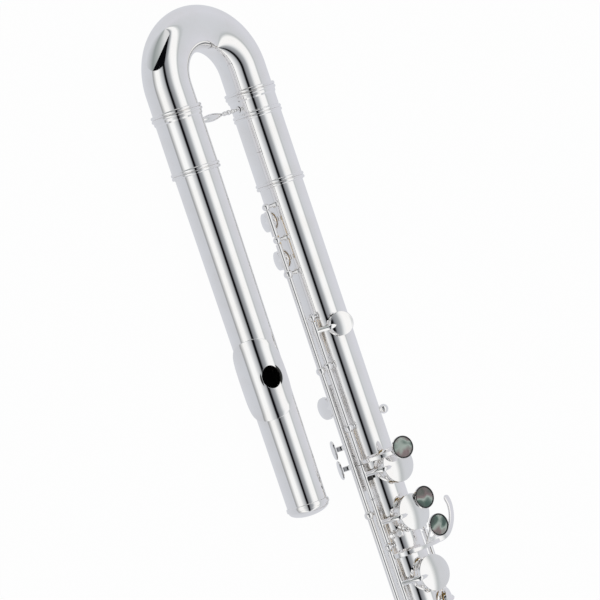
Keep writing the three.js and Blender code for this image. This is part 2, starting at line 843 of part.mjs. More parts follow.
const trillOne = key(flute, trillLine, 0);
const trillOneSteel = throughPosts(trillPosts.first, trillPosts.last, trillLine);
const trillOneKey = join(
  cupWithArm(holes.trillOne, trillLine),
  barrel(trillPosts.first + pastPost, trillPosts.second - pastPost, trillLine),
  trillOneSteel,
  barrel(touchAt.trillOne - leverWidth, trillPosts.last - pastPost, trillLine),
  trillLever(touchAt.trillOne),
);
trillOne("trill_one_key", trillOneKey, silver);
trillOne("trill_one_pad", pad(holes.trillOne), felt);

const trillTwo = key(flute, trillLine, 0);
const trillTwoParts = [cupWithArm(holes.trillTwo, trillLine), trillLever(touchAt.trillTwo)];
const trillTwoEnd = touchAt.trillTwo + leverWidth;
trillTwo("trill_two_key", casting(trillLine, trillPosts.second + pastPost, trillTwoEnd, ...trillTwoParts), silver);
trillTwo("trill_two_pad", pad(holes.trillTwo), felt);

// C key: its cup, the vent, is far up the tube from its touch

const tubeSplitShares = { c: 0.853, thumb: 0.68, flat: 0.504, fSharp: 0.474, e: 0.466 };
const leverStartShare = -1.7;
const cTouchShares = { back: 0.79, across: 0.08, up: 1.87, leverEnd: 0.2 };
const touchTilt = 9;
const cEnd = between(at.thumb, at.flat, tubeSplitShares.c);
const cTouch = {
  x: at.flat - cTouchShares.back * mainCupRadius,
  y: cTouchShares.across * tubeRadius,
  z: cTouchShares.up * tubeRadius,
  tilt: touchTilt,
};
const cPathShares = [[68, 1.42], [52, 1.68], [30, 1.82], [10, 1.8], [-4, 1.85]];
const cPlan = [
  [leverStartShare * tubeRadius, armWidth / 2],
  [0, armWidth / 2],
  [cTouchShares.leverEnd * tubeRadius, armTip],
];
const cLever = lever(cPathShares, [tapered(cTouch.x, cPlan)]);
const cKey = key(flute, mainLine, mainOpen);
const cParts = [cupWithArm(holes.vent, mainLine), cLever, touchHolder(cTouch)];
cKey("c_key", casting(mainLine, mainPosts.first + pastPost, cEnd - halfGap, ...cParts), silver);
cKey("c_pad", pad(holes.vent), felt);
cKey("c_touch", pearl(cTouch), shell);

// Thumb keys: the cup's own touch, and the lever beside it

const thumbPathShares = [[83, 1.28], [94, 1.2], [104, 1.28], [111, 1.5]];
const thumbPlateLong = 14;
const thumbPlateWide = 9;
const thumbPlateAngle = 116;
const thumbPlateReach = 22.6;

function thumbTouch(x) {
  const neck = lever(thumbPathShares, [tapered(x, [[-2 * tubeRadius, leverWidth / 2], [0, leverWidth / 2]])]);
  const plate = standing(ellipse(thumbPlateLong, thumbPlateWide), thumbPlateReach, thumbPlateReach + armThickness);
  return join(neck, plate.translate(x, 0, 0).rotateX(turn(thumbPlateAngle)));
}

const thumbSplit = between(thumbPosts.first, thumbPosts.last, tubeSplitShares.thumb);
const thumbB = key(flute, thumbLine, -thumbOpen);
const thumbBTouch = thumbTouch(thumbSplit - thumbPlateLong / 2 - clearance);
const thumbBParts = [cupWithArm(holes.thumb, thumbLine), thumbBTouch];
thumbB("thumb_b_key", casting(thumbLine, thumbPosts.first + pastPost, thumbSplit - halfGap, ...thumbBParts), silver);
thumbB("thumb_b_pad", pad(holes.thumb), felt);
const thumbFlat = key(flute, thumbLine, -thumbOpen);
const flatTouch = thumbTouch(thumbSplit + thumbPlateLong / 2 + clearance);
thumbFlat("thumb_b_flat_lever", casting(thumbLine, thumbSplit + halfGap, thumbPosts.last - pastPost, flatTouch), silver);

// Keys under the left hand's second and third fingers

const flatSplit = between(at.flat, at.a, tubeSplitShares.flat);
const flatKey = key(flute, mainLine, mainOpen);
const flatEnds = [cEnd + halfGap, flatSplit - halfGap];
flatKey("b_flat_key", casting(mainLine, ...flatEnds, cupWithArm(holes.flat, mainLine)), silver);
flatKey("b_flat_pad", pad(holes.flat), felt);

const aTouchShares = { back: 0.54, across: 0.82 };
const aTouch = {
  x: at.a - aTouchShares.back * mainCupRadius,
  y: aTouchShares.across * mainCupRadius,
  z: cupTop(holes.a) - sink,
  tilt: 0,
};
const aKey = key(flute, mainLine, mainOpen);
const aParts = [cupWithArm(holes.a, mainLine), touchHolder(aTouch)];
aKey("a_key", casting(mainLine, flatSplit + halfGap, mainPosts.middle - pastPost, ...aParts), silver);
aKey("a_pad", pad(holes.a), felt);
aKey("a_touch", pearl(aTouch), shell);

const gTouchShares = { along: 0.33, across: 1.02, up: 1.27 };
const gArmShares = { along: 0.567, end: 0.1, legStart: 0.03, legEnds: [[0.45, 0.95], [0, 0.55]] };
const gTouch = {
  x: between(at.a, at.upperG, gTouchShares.along),
  y: gTouchShares.across * tubeRadius,
  z: gTouchShares.up * tubeRadius,
  tilt: 0,
};
const gArmAt = between(at.a, at.upperG, gArmShares.along);
const gPathShares = [[68, 1.42], [46, 1.53], [26, 1.48], [0, 1.34], [-20, 1.38], [-45, 1.73]];
const gPlan = [[leverStartShare * tubeRadius, armWidth / 2], [gArmShares.end * tubeRadius, armWidth / 3]];
const gLegs = gArmShares.legEnds.map(([along, across]) => {
  const start = [gArmAt, gArmShares.legStart * tubeRadius];
  const end = [gTouch.x + along * touchRadius, across * gTouch.y];
  return strip([start, end], armTip, armTip);
});
const gKey = key(flute, mainLine, mainOpen);
const gParts = [
  cupWithArm(holes.upperG, mainLine),
  cupWithArm(holes.lowerG, mainLine),
  lever(gPathShares, [tapered(gArmAt, gPlan), ...gLegs], armThickness),
  touchHolder(gTouch),
];
gKey("g_key", casting(mainLine, mainPosts.middle + pastPost, mainPosts.last - pastPost, ...gParts), silver);
gKey("upper_g_pad", pad(holes.upperG), felt);
gKey("lower_g_pad", pad(holes.lowerG), felt);
gKey("g_touch", pearl(gTouch), shell);

// G sharp key: a crescent lever outside the tube lifts a cup on the other side of its hinge

const crescentShares = [[0.1, 1.36], [0.26, 1.9], [0.06, 2.45], [-0.5, 2.8], [-1.1, 2.82], [-1.5, 2.62]];
const crescentPathShares = [[-78, 1.397], [-77, 1.9], [-76.5, 2.4], [-77, 3.1]];
const crescentStart = sidePosts.first + pastPost + leverWidth + leverWidth / 2;
const crescentPlan = strip(
  crescentShares.map(([along, across]) => [crescentStart + along * tubeRadius, across * tubeRadius]),
  leverWidth,
  2 * leverWidth,
);
const sideKey = key(flute, sideLine, 0);
const sideParts = [cupWithArm(holes.gSharp, sideLine), lever(crescentPathShares, [crescentPlan])];
const sideEnds = [sidePosts.first + pastPost, sidePosts.last - pastPost];
sideKey("g_sharp_key", casting(sideLine, ...sideEnds, ...sideParts), silver);
sideKey("g_sharp_pad", pad(holes.gSharp), felt);

// Right-hand keys, each a plain cup on its own tube

const fSharpSplit = between(at.fSharp, at.f, tubeSplitShares.fSharp);
const eSplit = between(at.e, at.d, tubeSplitShares.e);
const rightKeys = [
  { name: "f_sharp", spot: holes.fSharp, from: lowerPosts.first + pastPost, to: fSharpSplit - halfGap },
  { name: "f", spot: holes.f, from: fSharpSplit + halfGap, to: lowerPosts.middle - pastPost },
  { name: "e", spot: holes.e, from: lowerPosts.middle + pastPost, to: eSplit - halfGap },
  { name: "d", spot: holes.d, from: eSplit + halfGap, to: lowerPosts.last - pastPost },
];
for (const { name, spot, from, to } of rightKeys) {
  const place = key(flute, mainLine, mainOpen);
  place(name + "_key", casting(mainLine, from, to, cupWithArm(spot, mainLine)), silver);
  place(name + "_pad", pad(spot), felt);
}

// Foot joint

function footTube() {
  const socketWallEnd = at.tenonFoot + clearance;
  const outside = [
    ...beads(at.footTop, sleeveRadius),
    [socketWallEnd, sleeveRadius],
    [socketWallEnd + 2 * sleeveWall, tubeRadius],
    [at.end - footEndBand, tubeRadius],
    [at.end - footEndBand, tubeRadius + endBandHeight],
    [at.end, tubeRadius + endBandHeight],
    [at.end, 0],
  ];
  const shellForm = turned([[at.footTop, 0], ...outside], tubeSides);
  const rims = Object.values(footHoles);
  const posts = Object.values(dSharpPosts).map((x) => endPost(x, dSharpLine));
  const whole = join(shellForm, ...rims.map(chimney), ...posts);
  const insides = [
    rod(at.footTop - overrun, socketWallEnd, sleeveInner, tubeSides),
    rod(at.footTop - overrun, at.end + overrun, bore, tubeSides),
  ];
  return cut(whole, ...insides, ...rims.map(holeThrough));
}

const foot = new THREE.Group();
flute.add(foot);
add(foot, "foot_tube", footTube(), silver);
const footRibPosts = [footPosts.first, footPosts.middle, footPosts.last];
const footRib = rib(footPosts.first - ribReach, footPosts.last + ribReach, footLine, footRibPosts);
add(foot, "foot_rib", footRib, silver);
add(foot, "d_sharp_steel", throughPosts(dSharpPosts.first, dSharpPosts.last, dSharpLine), steel);

const spatulaAtShare = 0.2;
const spatulaAt = dSharpPosts.first + pastPost + spatulaAtShare * tubeRadius;
const spatulaPathShares = [[46, 1.43], [32, 1.72], [12, 1.82], [-12, 1.82], [-32, 1.78]];
const spatulaShares = [[-1.3, 0.12], [-0.6, 0.12], [-0.2, 0.22], [0.2, 0.3], [0.75, 0.3], [0.95, 0.18]];
const spatulaPlan = tapered(spatulaAt, spatulaShares.map(([y, half]) => [y * tubeRadius, half * tubeRadius]));
const dSharp = key(foot, dSharpLine, 0);
const dSharpParts = [cupWithArm(footHoles.dSharp, dSharpLine), lever(spatulaPathShares, [spatulaPlan])];
const dSharpEnds = [dSharpPosts.first + pastPost, dSharpPosts.last - pastPost];
dSharp("d_sharp_key", casting(dSharpLine, ...dSharpEnds, ...dSharpParts), silver);
dSharp("d_sharp_pad", pad(footHoles.dSharp), felt);

// Rollers of the two lowest keys: each turns on a pin between two ears at the end of its lever
const rollerPinShare = 0.8;
const rollerPin = rollerPinShare * steelRadius;
const rollerBarShare = -0.9;
const earWidth = 1.2;
const earReach = rollerLength / 2 + clearance;

function rollerLever(x, pathShares, spot) {
  const [y, z] = polar(spot.angle, spot.reach);
  const stop = y - rollerRadius - 2 * clearance;
  const start = stop - leverThickness;
  const low = Math.min(x - leverWidth / 2, spot.x - earReach - earWidth);
  const high = spot.x + earReach + earWidth;
  const barStart = rollerBarShare * tubeRadius;
  const bar = tapered(x, [[barStart, leverWidth / 2], [stop - leverThickness / 2, leverWidth / 2]]);
  const cross = outline([[low, start], [high, start], [high, stop], [low, stop]]);
  const arms = lever(pathShares, [bar, cross]);
  const ears = [spot.x - earReach - earWidth, spot.x + earReach].map((from) => {
    const ear = strip([[stop - leverThickness / 2, z], [y + rollerPin, z]], 2 * leverThickness, leverThickness);
    return lying(ear, from, from + earWidth);
  });
  const axle = rod(spot.x - earReach - earWidth, high, rollerPin, hingeSides).translate(0, y, z);
  return join(arms, ...ears, axle);
}

function roller(spot) {
  const [y, z] = polar(spot.angle, spot.reach);
  const half = rollerLength / 2;
  return pipe(spot.x - half, spot.x + half, rollerRadius, rollerPin + clearance, hingeSides).translate(0, y, z);
}

const lowCBar = [footPosts.first + pastPost, footPosts.first + pastPost + leverWidth + leverWidth / 2];
const rollersAt = lowCBar[0] + leverWidth + clearance + earReach + 2 * earWidth;
const cSharpRollerShares = [-28, 1.73];
const lowCRollerShares = [-48, 1.84];
const rollerSpot = ([angle, share]) => ({ x: rollersAt, angle, reach: share * tubeRadius });
const cSharpRoller = rollerSpot(cSharpRollerShares);
const lowCRoller = rollerSpot(lowCRollerShares);
const cSharpPathShares = [[20, 1.49], [6, 1.74], [-10, 1.75], [-20, 1.74], [-30, 1.73]];
const lowCPathShares = [[20, 1.49], [4, 1.74], [-18, 1.78], [-36, 1.82], [-47, 1.84]];

const cSharp = key(foot, footLine, footOpen);
const cSharpParts = [cupWithArm(footHoles.cSharp, footLine), rollerLever(rollersAt, cSharpPathShares, cSharpRoller)];
cSharp("c_sharp_key", casting(footLine, lowCBar[1] + clearance, footPosts.middle - pastPost, ...cSharpParts), silver);
cSharp("c_sharp_pad", pad(footHoles.cSharp), felt);
cSharp("c_sharp_roller", roller(cSharpRoller), silver);

// The lowest key's steel runs inside the tube of the one before it
const lowC = key(foot, footLine, footOpen);
const lowCKey = join(
  cupWithArm(footHoles.lowC, footLine),
  barrel(...lowCBar, footLine),
  throughPosts(footPosts.first, footPosts.last, footLine),
  barrel(footPosts.middle + pastPost, footPosts.last - pastPost, footLine),
  rollerLever(lowCBar[0] + leverWidth / 2, lowCPathShares, lowCRoller),
);
lowC("low_c_key", lowCKey, silver);
lowC("low_c_pad", pad(footHoles.lowC), felt);
lowC("low_c_roller", roller(lowCRoller), silver);

// The whole flute stands on the plane z = 0, with the middle of its box above the origin
const box = new THREE.Box3().setFromObject(flute, true);
flute.position.set(-between(box.min.x, box.max.x, 0.5), -between(box.min.y, box.max.y, 0.5), -box.min.z);

export default flute;
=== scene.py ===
import json
from math import asin, cos, pi, radians, sin, sqrt
from types import SimpleNamespace

import bmesh
import bpy
from mathutils import Matrix, Vector


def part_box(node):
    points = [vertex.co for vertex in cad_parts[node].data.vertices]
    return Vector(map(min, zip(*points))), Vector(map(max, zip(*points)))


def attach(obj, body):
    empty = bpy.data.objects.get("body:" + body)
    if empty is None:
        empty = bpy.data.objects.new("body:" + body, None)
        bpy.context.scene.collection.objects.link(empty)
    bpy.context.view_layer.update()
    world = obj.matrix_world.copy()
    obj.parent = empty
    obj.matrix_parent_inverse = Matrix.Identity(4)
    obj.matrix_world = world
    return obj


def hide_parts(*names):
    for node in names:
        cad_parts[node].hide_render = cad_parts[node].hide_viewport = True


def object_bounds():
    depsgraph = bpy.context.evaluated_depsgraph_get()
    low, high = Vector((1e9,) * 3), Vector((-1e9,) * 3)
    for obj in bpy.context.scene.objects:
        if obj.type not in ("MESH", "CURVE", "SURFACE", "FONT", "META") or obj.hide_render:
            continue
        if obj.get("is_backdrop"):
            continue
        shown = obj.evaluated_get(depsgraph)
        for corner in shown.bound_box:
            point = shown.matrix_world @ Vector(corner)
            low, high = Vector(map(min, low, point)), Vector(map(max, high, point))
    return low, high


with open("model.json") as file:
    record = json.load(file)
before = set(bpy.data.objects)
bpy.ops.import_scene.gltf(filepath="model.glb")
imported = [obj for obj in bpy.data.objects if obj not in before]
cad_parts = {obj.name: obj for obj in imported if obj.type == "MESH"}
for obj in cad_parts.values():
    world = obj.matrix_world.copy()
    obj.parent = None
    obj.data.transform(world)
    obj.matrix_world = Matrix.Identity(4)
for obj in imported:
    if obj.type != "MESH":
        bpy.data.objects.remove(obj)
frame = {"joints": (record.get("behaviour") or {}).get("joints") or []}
cad_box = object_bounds()

# The camera: a long lens three metres away, on the player's side and above,
# with the flute running from the upper left of the picture to the lower right.
joints = {joint["name"]: joint for joint in frame["joints"]}
mm = 0.001
barrel_end = Vector(joints["foot_turn"]["pos_m"])  # on the body's axis, at the lower end of its barrel
camera_angle = 44.4  # degrees from the top towards the player
camera_tilt = -0.88  # degrees towards the crook
camera_distance = 2.99
camera_aim = barrel_end + Vector((82.45, -18.34, 0)) * mm
camera_up = Vector((-0.948126, 0.237195, 0.21165))
camera_lens = 257.28
film_wide = 36

bpy.ops.object.select_all(action="DESELECT")
bpy.ops.object.camera_add(location=(0, 0, 0))
camera = bpy.context.object
towards_crook = Vector((sin(radians(camera_tilt)), 0, 1)).normalized()
back = Matrix.Rotation(radians(camera_angle), 3, "X") @ towards_crook
right = camera_up.cross(back).normalized()
up = back.cross(right)
turned_camera = Matrix((right, up, back)).transposed().to_4x4()
camera.matrix_world = Matrix.Translation(camera_aim + back * camera_distance) @ turned_camera
camera.data.lens = camera_lens
camera.data.sensor_width = film_wide
camera.data.clip_end = 20
bpy.context.scene.camera = camera
bpy.context.scene.view_settings.view_transform = "Standard"

# The studio: long white panels on both sides of the camera, a narrow black gap between them that draws
# the dark line along every polished tube, and pale grey walls further round. The player's panel stops
# short on the crook's side, where the room behind it is dark.
panel_stops = [  # the bearing from the top towards the player, in degrees, and the colour seen there
    (-180, (0.66, 0.68, 0.72)),
    (-75, (0.68, 0.69, 0.74)),
    (-32, (0.62, 0.64, 0.67)),
    (-26, (0.5, 0.53, 0.54)),
    (-19, (0.98, 0.99, 0.99)),
    (0, (0.99, 0.99, 0.99)),
    (8, (0.86, 0.88, 0.89)),
    (19, (0.4, 0.42, 0.44)),
    (33, (0.24, 0.25, 0.27)),
    (37.5, (0.003, 0.003, 0.004)),
    (45, (0.003, 0.003, 0.004)),
    (50, (0.4, 0.42, 0.44)),
    (62, (0.66, 0.68, 0.7)),
    (73, (0.98, 0.99, 0.99)),
    (89, (0.98, 0.99, 0.99)),
    (107, (0.32, 0.33, 0.34)),
    (112, (0.6, 0.62, 0.66)),
    (180, (0.66, 0.68, 0.72)),
]
end_slope = -0.62  # how far towards the crook the player's panel reaches, along to across
dark_slope = -1.95  # where the dark room behind its end has narrowed to nothing
dark_top = 105  # the bearings where the dark part begins and where it has its point
dark_point = -12
dark_near = 36
squeeze_from = -22  # from this bearing on, the bands draw together towards the crook
squeeze_most = 1.6
room_stops = [  # the room behind the panel's end, by bearing
    (-20, (0.75, 0.76, 0.77)),
    (30, (0.72, 0.73, 0.74)),
    (75, (0.42, 0.45, 0.45)),
    (105, (0.3, 0.33, 0.33)),
    (125, (0.48, 0.5, 0.52)),
    (160, (0.66, 0.68, 0.72)),
]
dark_colour = (0.003, 0.003, 0.004, 1)


def share_of(angle):
    """A bearing as a share of the whole turn."""
    return (angle + 180) / 360


def fed(tree, node, sockets):
    """Gives a node's sockets their values, or the outputs that feed them."""
    for name, given in sockets.items():
        if isinstance(given, bpy.types.NodeSocket):
            tree.links.new(given, node.inputs[name])
        else:
            node.inputs[name].default_value = given
    return node


def added(tree, kind, sockets, **settings):
    """Adds a shader node with its settings and its sockets."""
    node = tree.nodes.new("ShaderNode" + kind)
    for name, value in settings.items():
        setattr(node, name, value)
    return fed(tree, node, sockets)


def figured(tree, operation, *given):
    """The result of a Math node."""
    return added(tree, "Math", dict(enumerate(given)), operation=operation).outputs[0]


def ranged(tree, value, start, stop, low=0, high=1):
    """The result of a Map Range node."""
    sockets = {"Value": value, "From Min": start, "From Max": stop, "To Min": low, "To Max": high}
    return added(tree, "MapRange", sockets).outputs["Result"]


def mixed(tree, factor, first, second):
    """The colour of a Mix node."""
    return added(tree, "Mix", {"Factor": factor, 6: first, 7: second}, data_type="RGBA").outputs[2]


def ramped(tree, table, factor):
    """The colour of a Color Ramp through a table of places and colours."""
    ramp = added(tree, "ValToRGB", {0: factor})
    stops = ramp.color_ramp.elements
    while len(stops) < len(table):
        stops.new(0.5)
    for stop, (place, _) in zip(stops, table):
        stop.position = place
    for stop, (_, colour) in zip(stops, table):
        stop.color = (*colour, 1)
    return ramp.outputs[0]


world = bpy.data.worlds.new("studio")
bpy.context.scene.world = world
world.use_nodes = True
tree = world.node_tree
tree.nodes.clear()
parts = added(tree, "SeparateXYZ", {0: added(tree, "TexCoord", {}).outputs["Generated"]}).outputs
bearing = figured(tree, "ARCTAN2", figured(tree, "MULTIPLY", parts["Y"], -1), parts["Z"])
turn_share = figured(tree, "MULTIPLY_ADD", bearing, 0.5 / pi, 0.5)
squares = [figured(tree, "MULTIPLY", parts[axis], parts[axis]) for axis in "YZ"]
slope = figured(tree, "DIVIDE", parts["X"], figured(tree, "SQRT", figured(tree, "ADD", *squares)))
dark_edge = ranged(tree, slope, end_slope, dark_slope, share_of(dark_top), share_of(dark_point))
squeeze = ranged(tree, slope, end_slope, dark_slope, 0, squeeze_most)
past_start = figured(tree, "MAXIMUM", figured(tree, "SUBTRACT", turn_share, share_of(squeeze_from)), 0)
drawn_share = figured(tree, "ADD", turn_share, figured(tree, "MULTIPLY", past_start, squeeze))
is_dark = figured(tree, "LESS_THAN", turn_share, dark_edge)
is_past = figured(tree, "LESS_THAN", slope, end_slope)
is_players = figured(tree, "GREATER_THAN", drawn_share, share_of(dark_near))
is_end = figured(tree, "MULTIPLY", is_past, is_players)
room = ramped(tree, [(share_of(angle), colour) for angle, colour in room_stops], turn_share)
panels = ramped(tree, [(share_of(angle), colour) for angle, colour in panel_stops], drawn_share)
around = mixed(tree, is_end, panels, mixed(tree, is_dark, room, dark_colour))
added(tree, "OutputWorld", {"Surface": added(tree, "Background", {"Color": around}).outputs[0]})

# The floor: a sheet of pale paper laid flat just under the flute, bright enough to read as white
# behind it. The silver doesn't mirror it.
floor_size = 12
floor_gap = 0.2 * mm
paper_grey = (0.8, 0.8, 0.8, 1)
paper_light = 0.975  # how much of the paper that the camera sees is plain white light
bpy.ops.object.select_all(action="DESELECT")
bpy.ops.mesh.primitive_plane_add(size=floor_size, location=(0, 0, cad_box[0][2] - floor_gap))
floor = bpy.context.object
floor.name = "floor"
floor.visible_glossy = False
paper = bpy.data.materials.new("white_paper")
paper.use_nodes = True
tree = paper.node_tree
tree.nodes.clear()
seen = figured(tree, "MULTIPLY", added(tree, "LightPath", {}).outputs["Is Camera Ray"], paper_light)
sheet = added(tree, "BsdfDiffuse", {"Color": paper_grey})
lit = added(tree, "Emission", {"Color": (1, 1, 1, 1)})
surface = added(tree, "MixShader", {0: seen, 1: sheet.outputs[0], 2: lit.outputs[0]})
added(tree, "OutputMaterial", {"Surface": surface.outputs[0]})
floor.data.materials.append(paper)
floor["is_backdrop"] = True


# The crook's tube: drawn brass bent over a former through half a circle, then silver plated
# and polished. Its two straight ends are soldered into the ferrule and the receiver.
cloud_low, cloud_high = 0.42, 0.72  # where a cloud begins and where it is full


def wear_group():
    """Clouds that mix a clean colour with a worn one, and the mask of where they lie."""
    group = bpy.data.node_groups.new("wear", "ShaderNodeTree")
    for way, kind, names in [
        ("INPUT", "Float", ("Scale", "Amount")),
        ("INPUT", "Color", ("Clean", "Worn")),
        ("OUTPUT", "Color", ("Color",)),
        ("OUTPUT", "Float", ("Mask",)),
    ]:
        for name in names:
            group.interface.new_socket(name, in_out=way, socket_type="NodeSocket" + kind)
    given = group.nodes.new("NodeGroupInput").outputs
    place = added(group, "TexCoord", {}).outputs["Object"]
    sockets = {"Vector": place, "Scale": given["Scale"], "Detail": 5, "Roughness": 0.6}
    cloud = added(group, "TexNoise", sockets).outputs["Fac"]
    mask = figured(group, "MULTIPLY", ranged(group, cloud, cloud_low, cloud_high), given["Amount"])
    colour = mixed(group, mask, given["Clean"], given["Worn"])
    fed(group, group.nodes.new("NodeGroupOutput"), {"Color": colour, "Mask": mask})
    return group


wear = wear_group()
grain_high = 0.0001


def finish(name, clean, worn, smooth, rough, metal=1.0, scale=60, amount=0.5, grain=900, depth=0.02):
    """A finish whose colour and gloss vary softly, with a fine grain in its surface."""
    material = bpy.data.materials.new(name)
    material.use_nodes = True
    tree = material.node_tree
    sockets = {"Scale": scale, "Amount": amount, "Clean": (*clean, 1), "Worn": (*worn, 1)}
    tone = added(tree, "Group", sockets, node_tree=wear).outputs
    place = added(tree, "TexCoord", {}).outputs["Object"]
    fine = added(tree, "TexNoise", {"Vector": place, "Scale": grain}).outputs["Fac"]
    bump = added(tree, "Bump", {"Strength": depth, "Distance": grain_high, "Height": fine})
    gloss = ranged(tree, tone["Mask"], 0, 1, smooth, rough)
    sockets = {"Metallic": metal, "Roughness": gloss}
    sockets |= {"Base Color": tone["Color"], "Normal": bump.outputs["Normal"]}
    fed(tree, tree.nodes["Principled BSDF"], sockets)
    return material


silver = finish("silver_plate", (0.955, 0.945, 0.94), (0.9, 0.87, 0.84), 0.035, 0.11)
crease = 30  # degrees; a sharper edge than this stays sharp


def alone(piece=None):
    """Leaves edit mode and selects one piece, or nothing."""
    if bpy.context.object and bpy.context.object.mode != "OBJECT":
        bpy.ops.object.mode_set(mode="OBJECT")
    bpy.ops.object.select_all(action="DESELECT")
    if piece:
        piece.select_set(True)
        bpy.context.view_layer.objects.active = piece


def applied(name):
    """Names the shape that was just added and applies its placing."""
    piece = bpy.context.object
    piece.name = name
    bpy.ops.object.transform_apply(location=True, rotation=True, scale=True)
    return piece


def moved(piece, matrix):
    """Applies a placing to a piece's mesh, so that its object stays at the origin."""
    alone(piece)
    piece.matrix_world = matrix
    bpy.ops.object.transform_apply(location=True, rotation=True, scale=True)
    return piece


def modified(piece, kind, **settings):
    """Adds a modifier with its settings and applies it."""
    alone(piece)
    bpy.ops.object.modifier_add(type=kind)
    modifier = piece.modifiers[-1]
    for name, value in settings.items():
        setattr(modifier, name, value)
    bpy.ops.object.modifier_apply(modifier=modifier.name)
    return piece


def bevelled(piece, width, segments=2, angle=35):
    return modified(
        piece, "BEVEL", width=width, segments=segments, limit_method="ANGLE", angle_limit=radians(angle)
    )


def dressed(piece, look, slot, body, *stands_for):
    """Gives a piece its place in metres, smooth shading, its finish and the body it rides on.
    Until then it is drawn in millimetres from the lower end of the barrel, on the body's axis."""
    moved(piece, Matrix.Translation(barrel_end) @ Matrix.Scale(mm, 4))
    bpy.ops.object.shade_smooth_by_angle(angle=radians(crease))
    if not piece.data.materials:
        piece.data.materials.append(look)
    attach(piece, body)
    if stands_for:
        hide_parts(*stands_for)
    return piece


def plated(piece, body, *stands_for):
    return dressed(piece, silver, "silver", body, *stands_for)


def mended(merge=None):
    """Merges corners that meet, turns the faces outwards and leaves edit mode."""
    bpy.ops.mesh.select_all(action="SELECT")
    if merge:
        bpy.ops.mesh.remove_doubles(threshold=merge)
    bpy.ops.mesh.normals_make_consistent(inside=False)
    bpy.ops.object.mode_set(mode="OBJECT")


head_axis = (Vector(joints["head_turn"]["pos_m"]) - barrel_end) / mm
crook_low, crook_high = [(corner - barrel_end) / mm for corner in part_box("crook_tube")]
crook_radius = 16.5
crook_wall = 0.8
round_sides = 128
bend_radius = -head_axis.y / 2
bend_middle = crook_low.x + bend_radius + crook_radius
bend_steps = 96

alone()
crook_start = (crook_high.x, 0, 0)
bpy.ops.mesh.primitive_circle_add(
    vertices=round_sides, radius=crook_radius, location=crook_start, rotation=(0, pi / 2, 0)
)
crook_tube = applied("bent_tube")
bpy.ops.object.mode_set(mode="EDIT")
bpy.ops.mesh.select_all(action="SELECT")
bpy.ops.mesh.extrude_region_move(TRANSFORM_OT_translate={"value": (bend_middle - crook_high.x, 0, 0)})
bend_centre = (bend_middle, -bend_radius, 0)
bpy.ops.mesh.spin(steps=bend_steps, angle=-pi, center=bend_centre, axis=(0, 0, 1))
bpy.ops.mesh.extrude_region_move(TRANSFORM_OT_translate={"value": (crook_high.x - bend_middle, 0, 0)})
mended(0.005)
modified(crook_tube, "SOLIDIFY", thickness=crook_wall, offset=-1)
plated(crook_tube, "crook", "crook_tube")


# The crook's ferrule and receiver: turned brass sleeves, silver plated, with beads at each mouth.
# The ferrule carries the tenon that slides in the body's barrel, and the receiver takes the head.
turned = {}  # the pattern of each turned shape, which is copied where the shape repeats
lathe_merge = 0.002


def placed(name, mesh):
    """Puts a mesh into the scene as a piece of its own."""
    piece = bpy.data.objects.new(name, mesh)
    bpy.context.scene.collection.objects.link(piece)
    alone(piece)
    return piece


def spun(name, profile, axis="X", sides=round_sides):
    """A piece turned on the lathe: (place, radius) pairs from one end to the other round X or Z.
    A profile that comes back to its first point makes a pipe."""
    alone()
    shape = (tuple(profile), axis, sides)
    if shape in turned:
        mesh = turned[shape].copy()
        mesh.name = name
        return placed(name, mesh)
    if axis == "X":
        corners, pole = [(place, 0, radius) for place, radius in profile], (1, 0, 0)
    else:
        corners, pole = [(radius, 0, place) for place, radius in profile], (0, 0, 1)
    mesh = bpy.data.meshes.new(name)
    mesh.from_pydata(corners, [(i, i + 1) for i in range(len(corners) - 1)], [])
    piece = placed(name, mesh)
    bpy.ops.object.mode_set(mode="EDIT")
    bpy.ops.mesh.select_all(action="SELECT")
    bpy.ops.mesh.spin(steps=sides, angle=2 * pi, center=(0, 0, 0), axis=pole)
    mended(lathe_merge)
    turned[shape] = mesh.copy()
    return piece


bead_steps = 8
bead_width = 2.4
bead_height = 0.95
beads_in_ring = 2
ring_width = beads_in_ring * bead_width
sleeve_inner = 16.05
sleeve_radius = 16.65
socket_radius = 17.4
socket_inner = 16.8
ferrule_top = -69.2
socket_end = -63.2
slope_end = -61.4
barrel_top = -52.7
tenon_end = -13.7
tube_radius = 15.75
tube_bore = 15.25
receiver_end = -22.8
receiver_stop = -60.1
sleeve_edge = 0.2
gap = 0.3


def arc(middle, radius, long, high, start, stop, steps):
    """The outline of an oval arc round a point, from one angle to another."""
    turns = [start + (stop - start) * step / steps for step in range(steps + 1)]
    return [(middle + long * cos(turn), radius + high * sin(turn)) for turn in turns]


def ring(start, radius):
    """The outline of a ring of round beads side by side."""
    outline = []
    for bead in range(beads_in_ring):
        middle = start + bead_width * (bead + 0.5)
        outline += arc(middle, radius, -bead_width / 2, bead_height, 0, pi, bead_steps)
    return outline


mouth = [(ferrule_top, socket_inner), *ring(ferrule_top, socket_radius)]
slope = [(socket_end + 2 * gap, socket_radius), (slope_end, sleeve_radius)]
socket = [(socket_end, tube_bore), (socket_end, socket_inner), mouth[0]]
shoulder = barrel_top - gap
ferrule_end = [(shoulder - sleeve_edge, sleeve_radius), (shoulder, sleeve_radius - sleeve_edge)]
tenon = [(shoulder, tube_radius), (tenon_end, tube_radius), (tenon_end, tube_bore)]
plated(spun("ferrule", [*mouth, *slope, *ferrule_end, *tenon, *socket]), "crook", "crook_ferrule")
receiver_mouth = [*ring(receiver_end - ring_width, sleeve_radius), (receiver_end, sleeve_inner)]
seat = [(receiver_stop, sleeve_inner), (receiver_stop, tube_bore)]


def on_head(piece):
    """Moves a piece from the body's axis to the head's."""
    return moved(piece, Matrix.Translation((0, head_axis.y, 0)))


receiver = spun("receiver", [*mouth, *slope, *receiver_mouth, *seat, *socket])
plated(on_head(receiver), "crook", "crook_receiver")

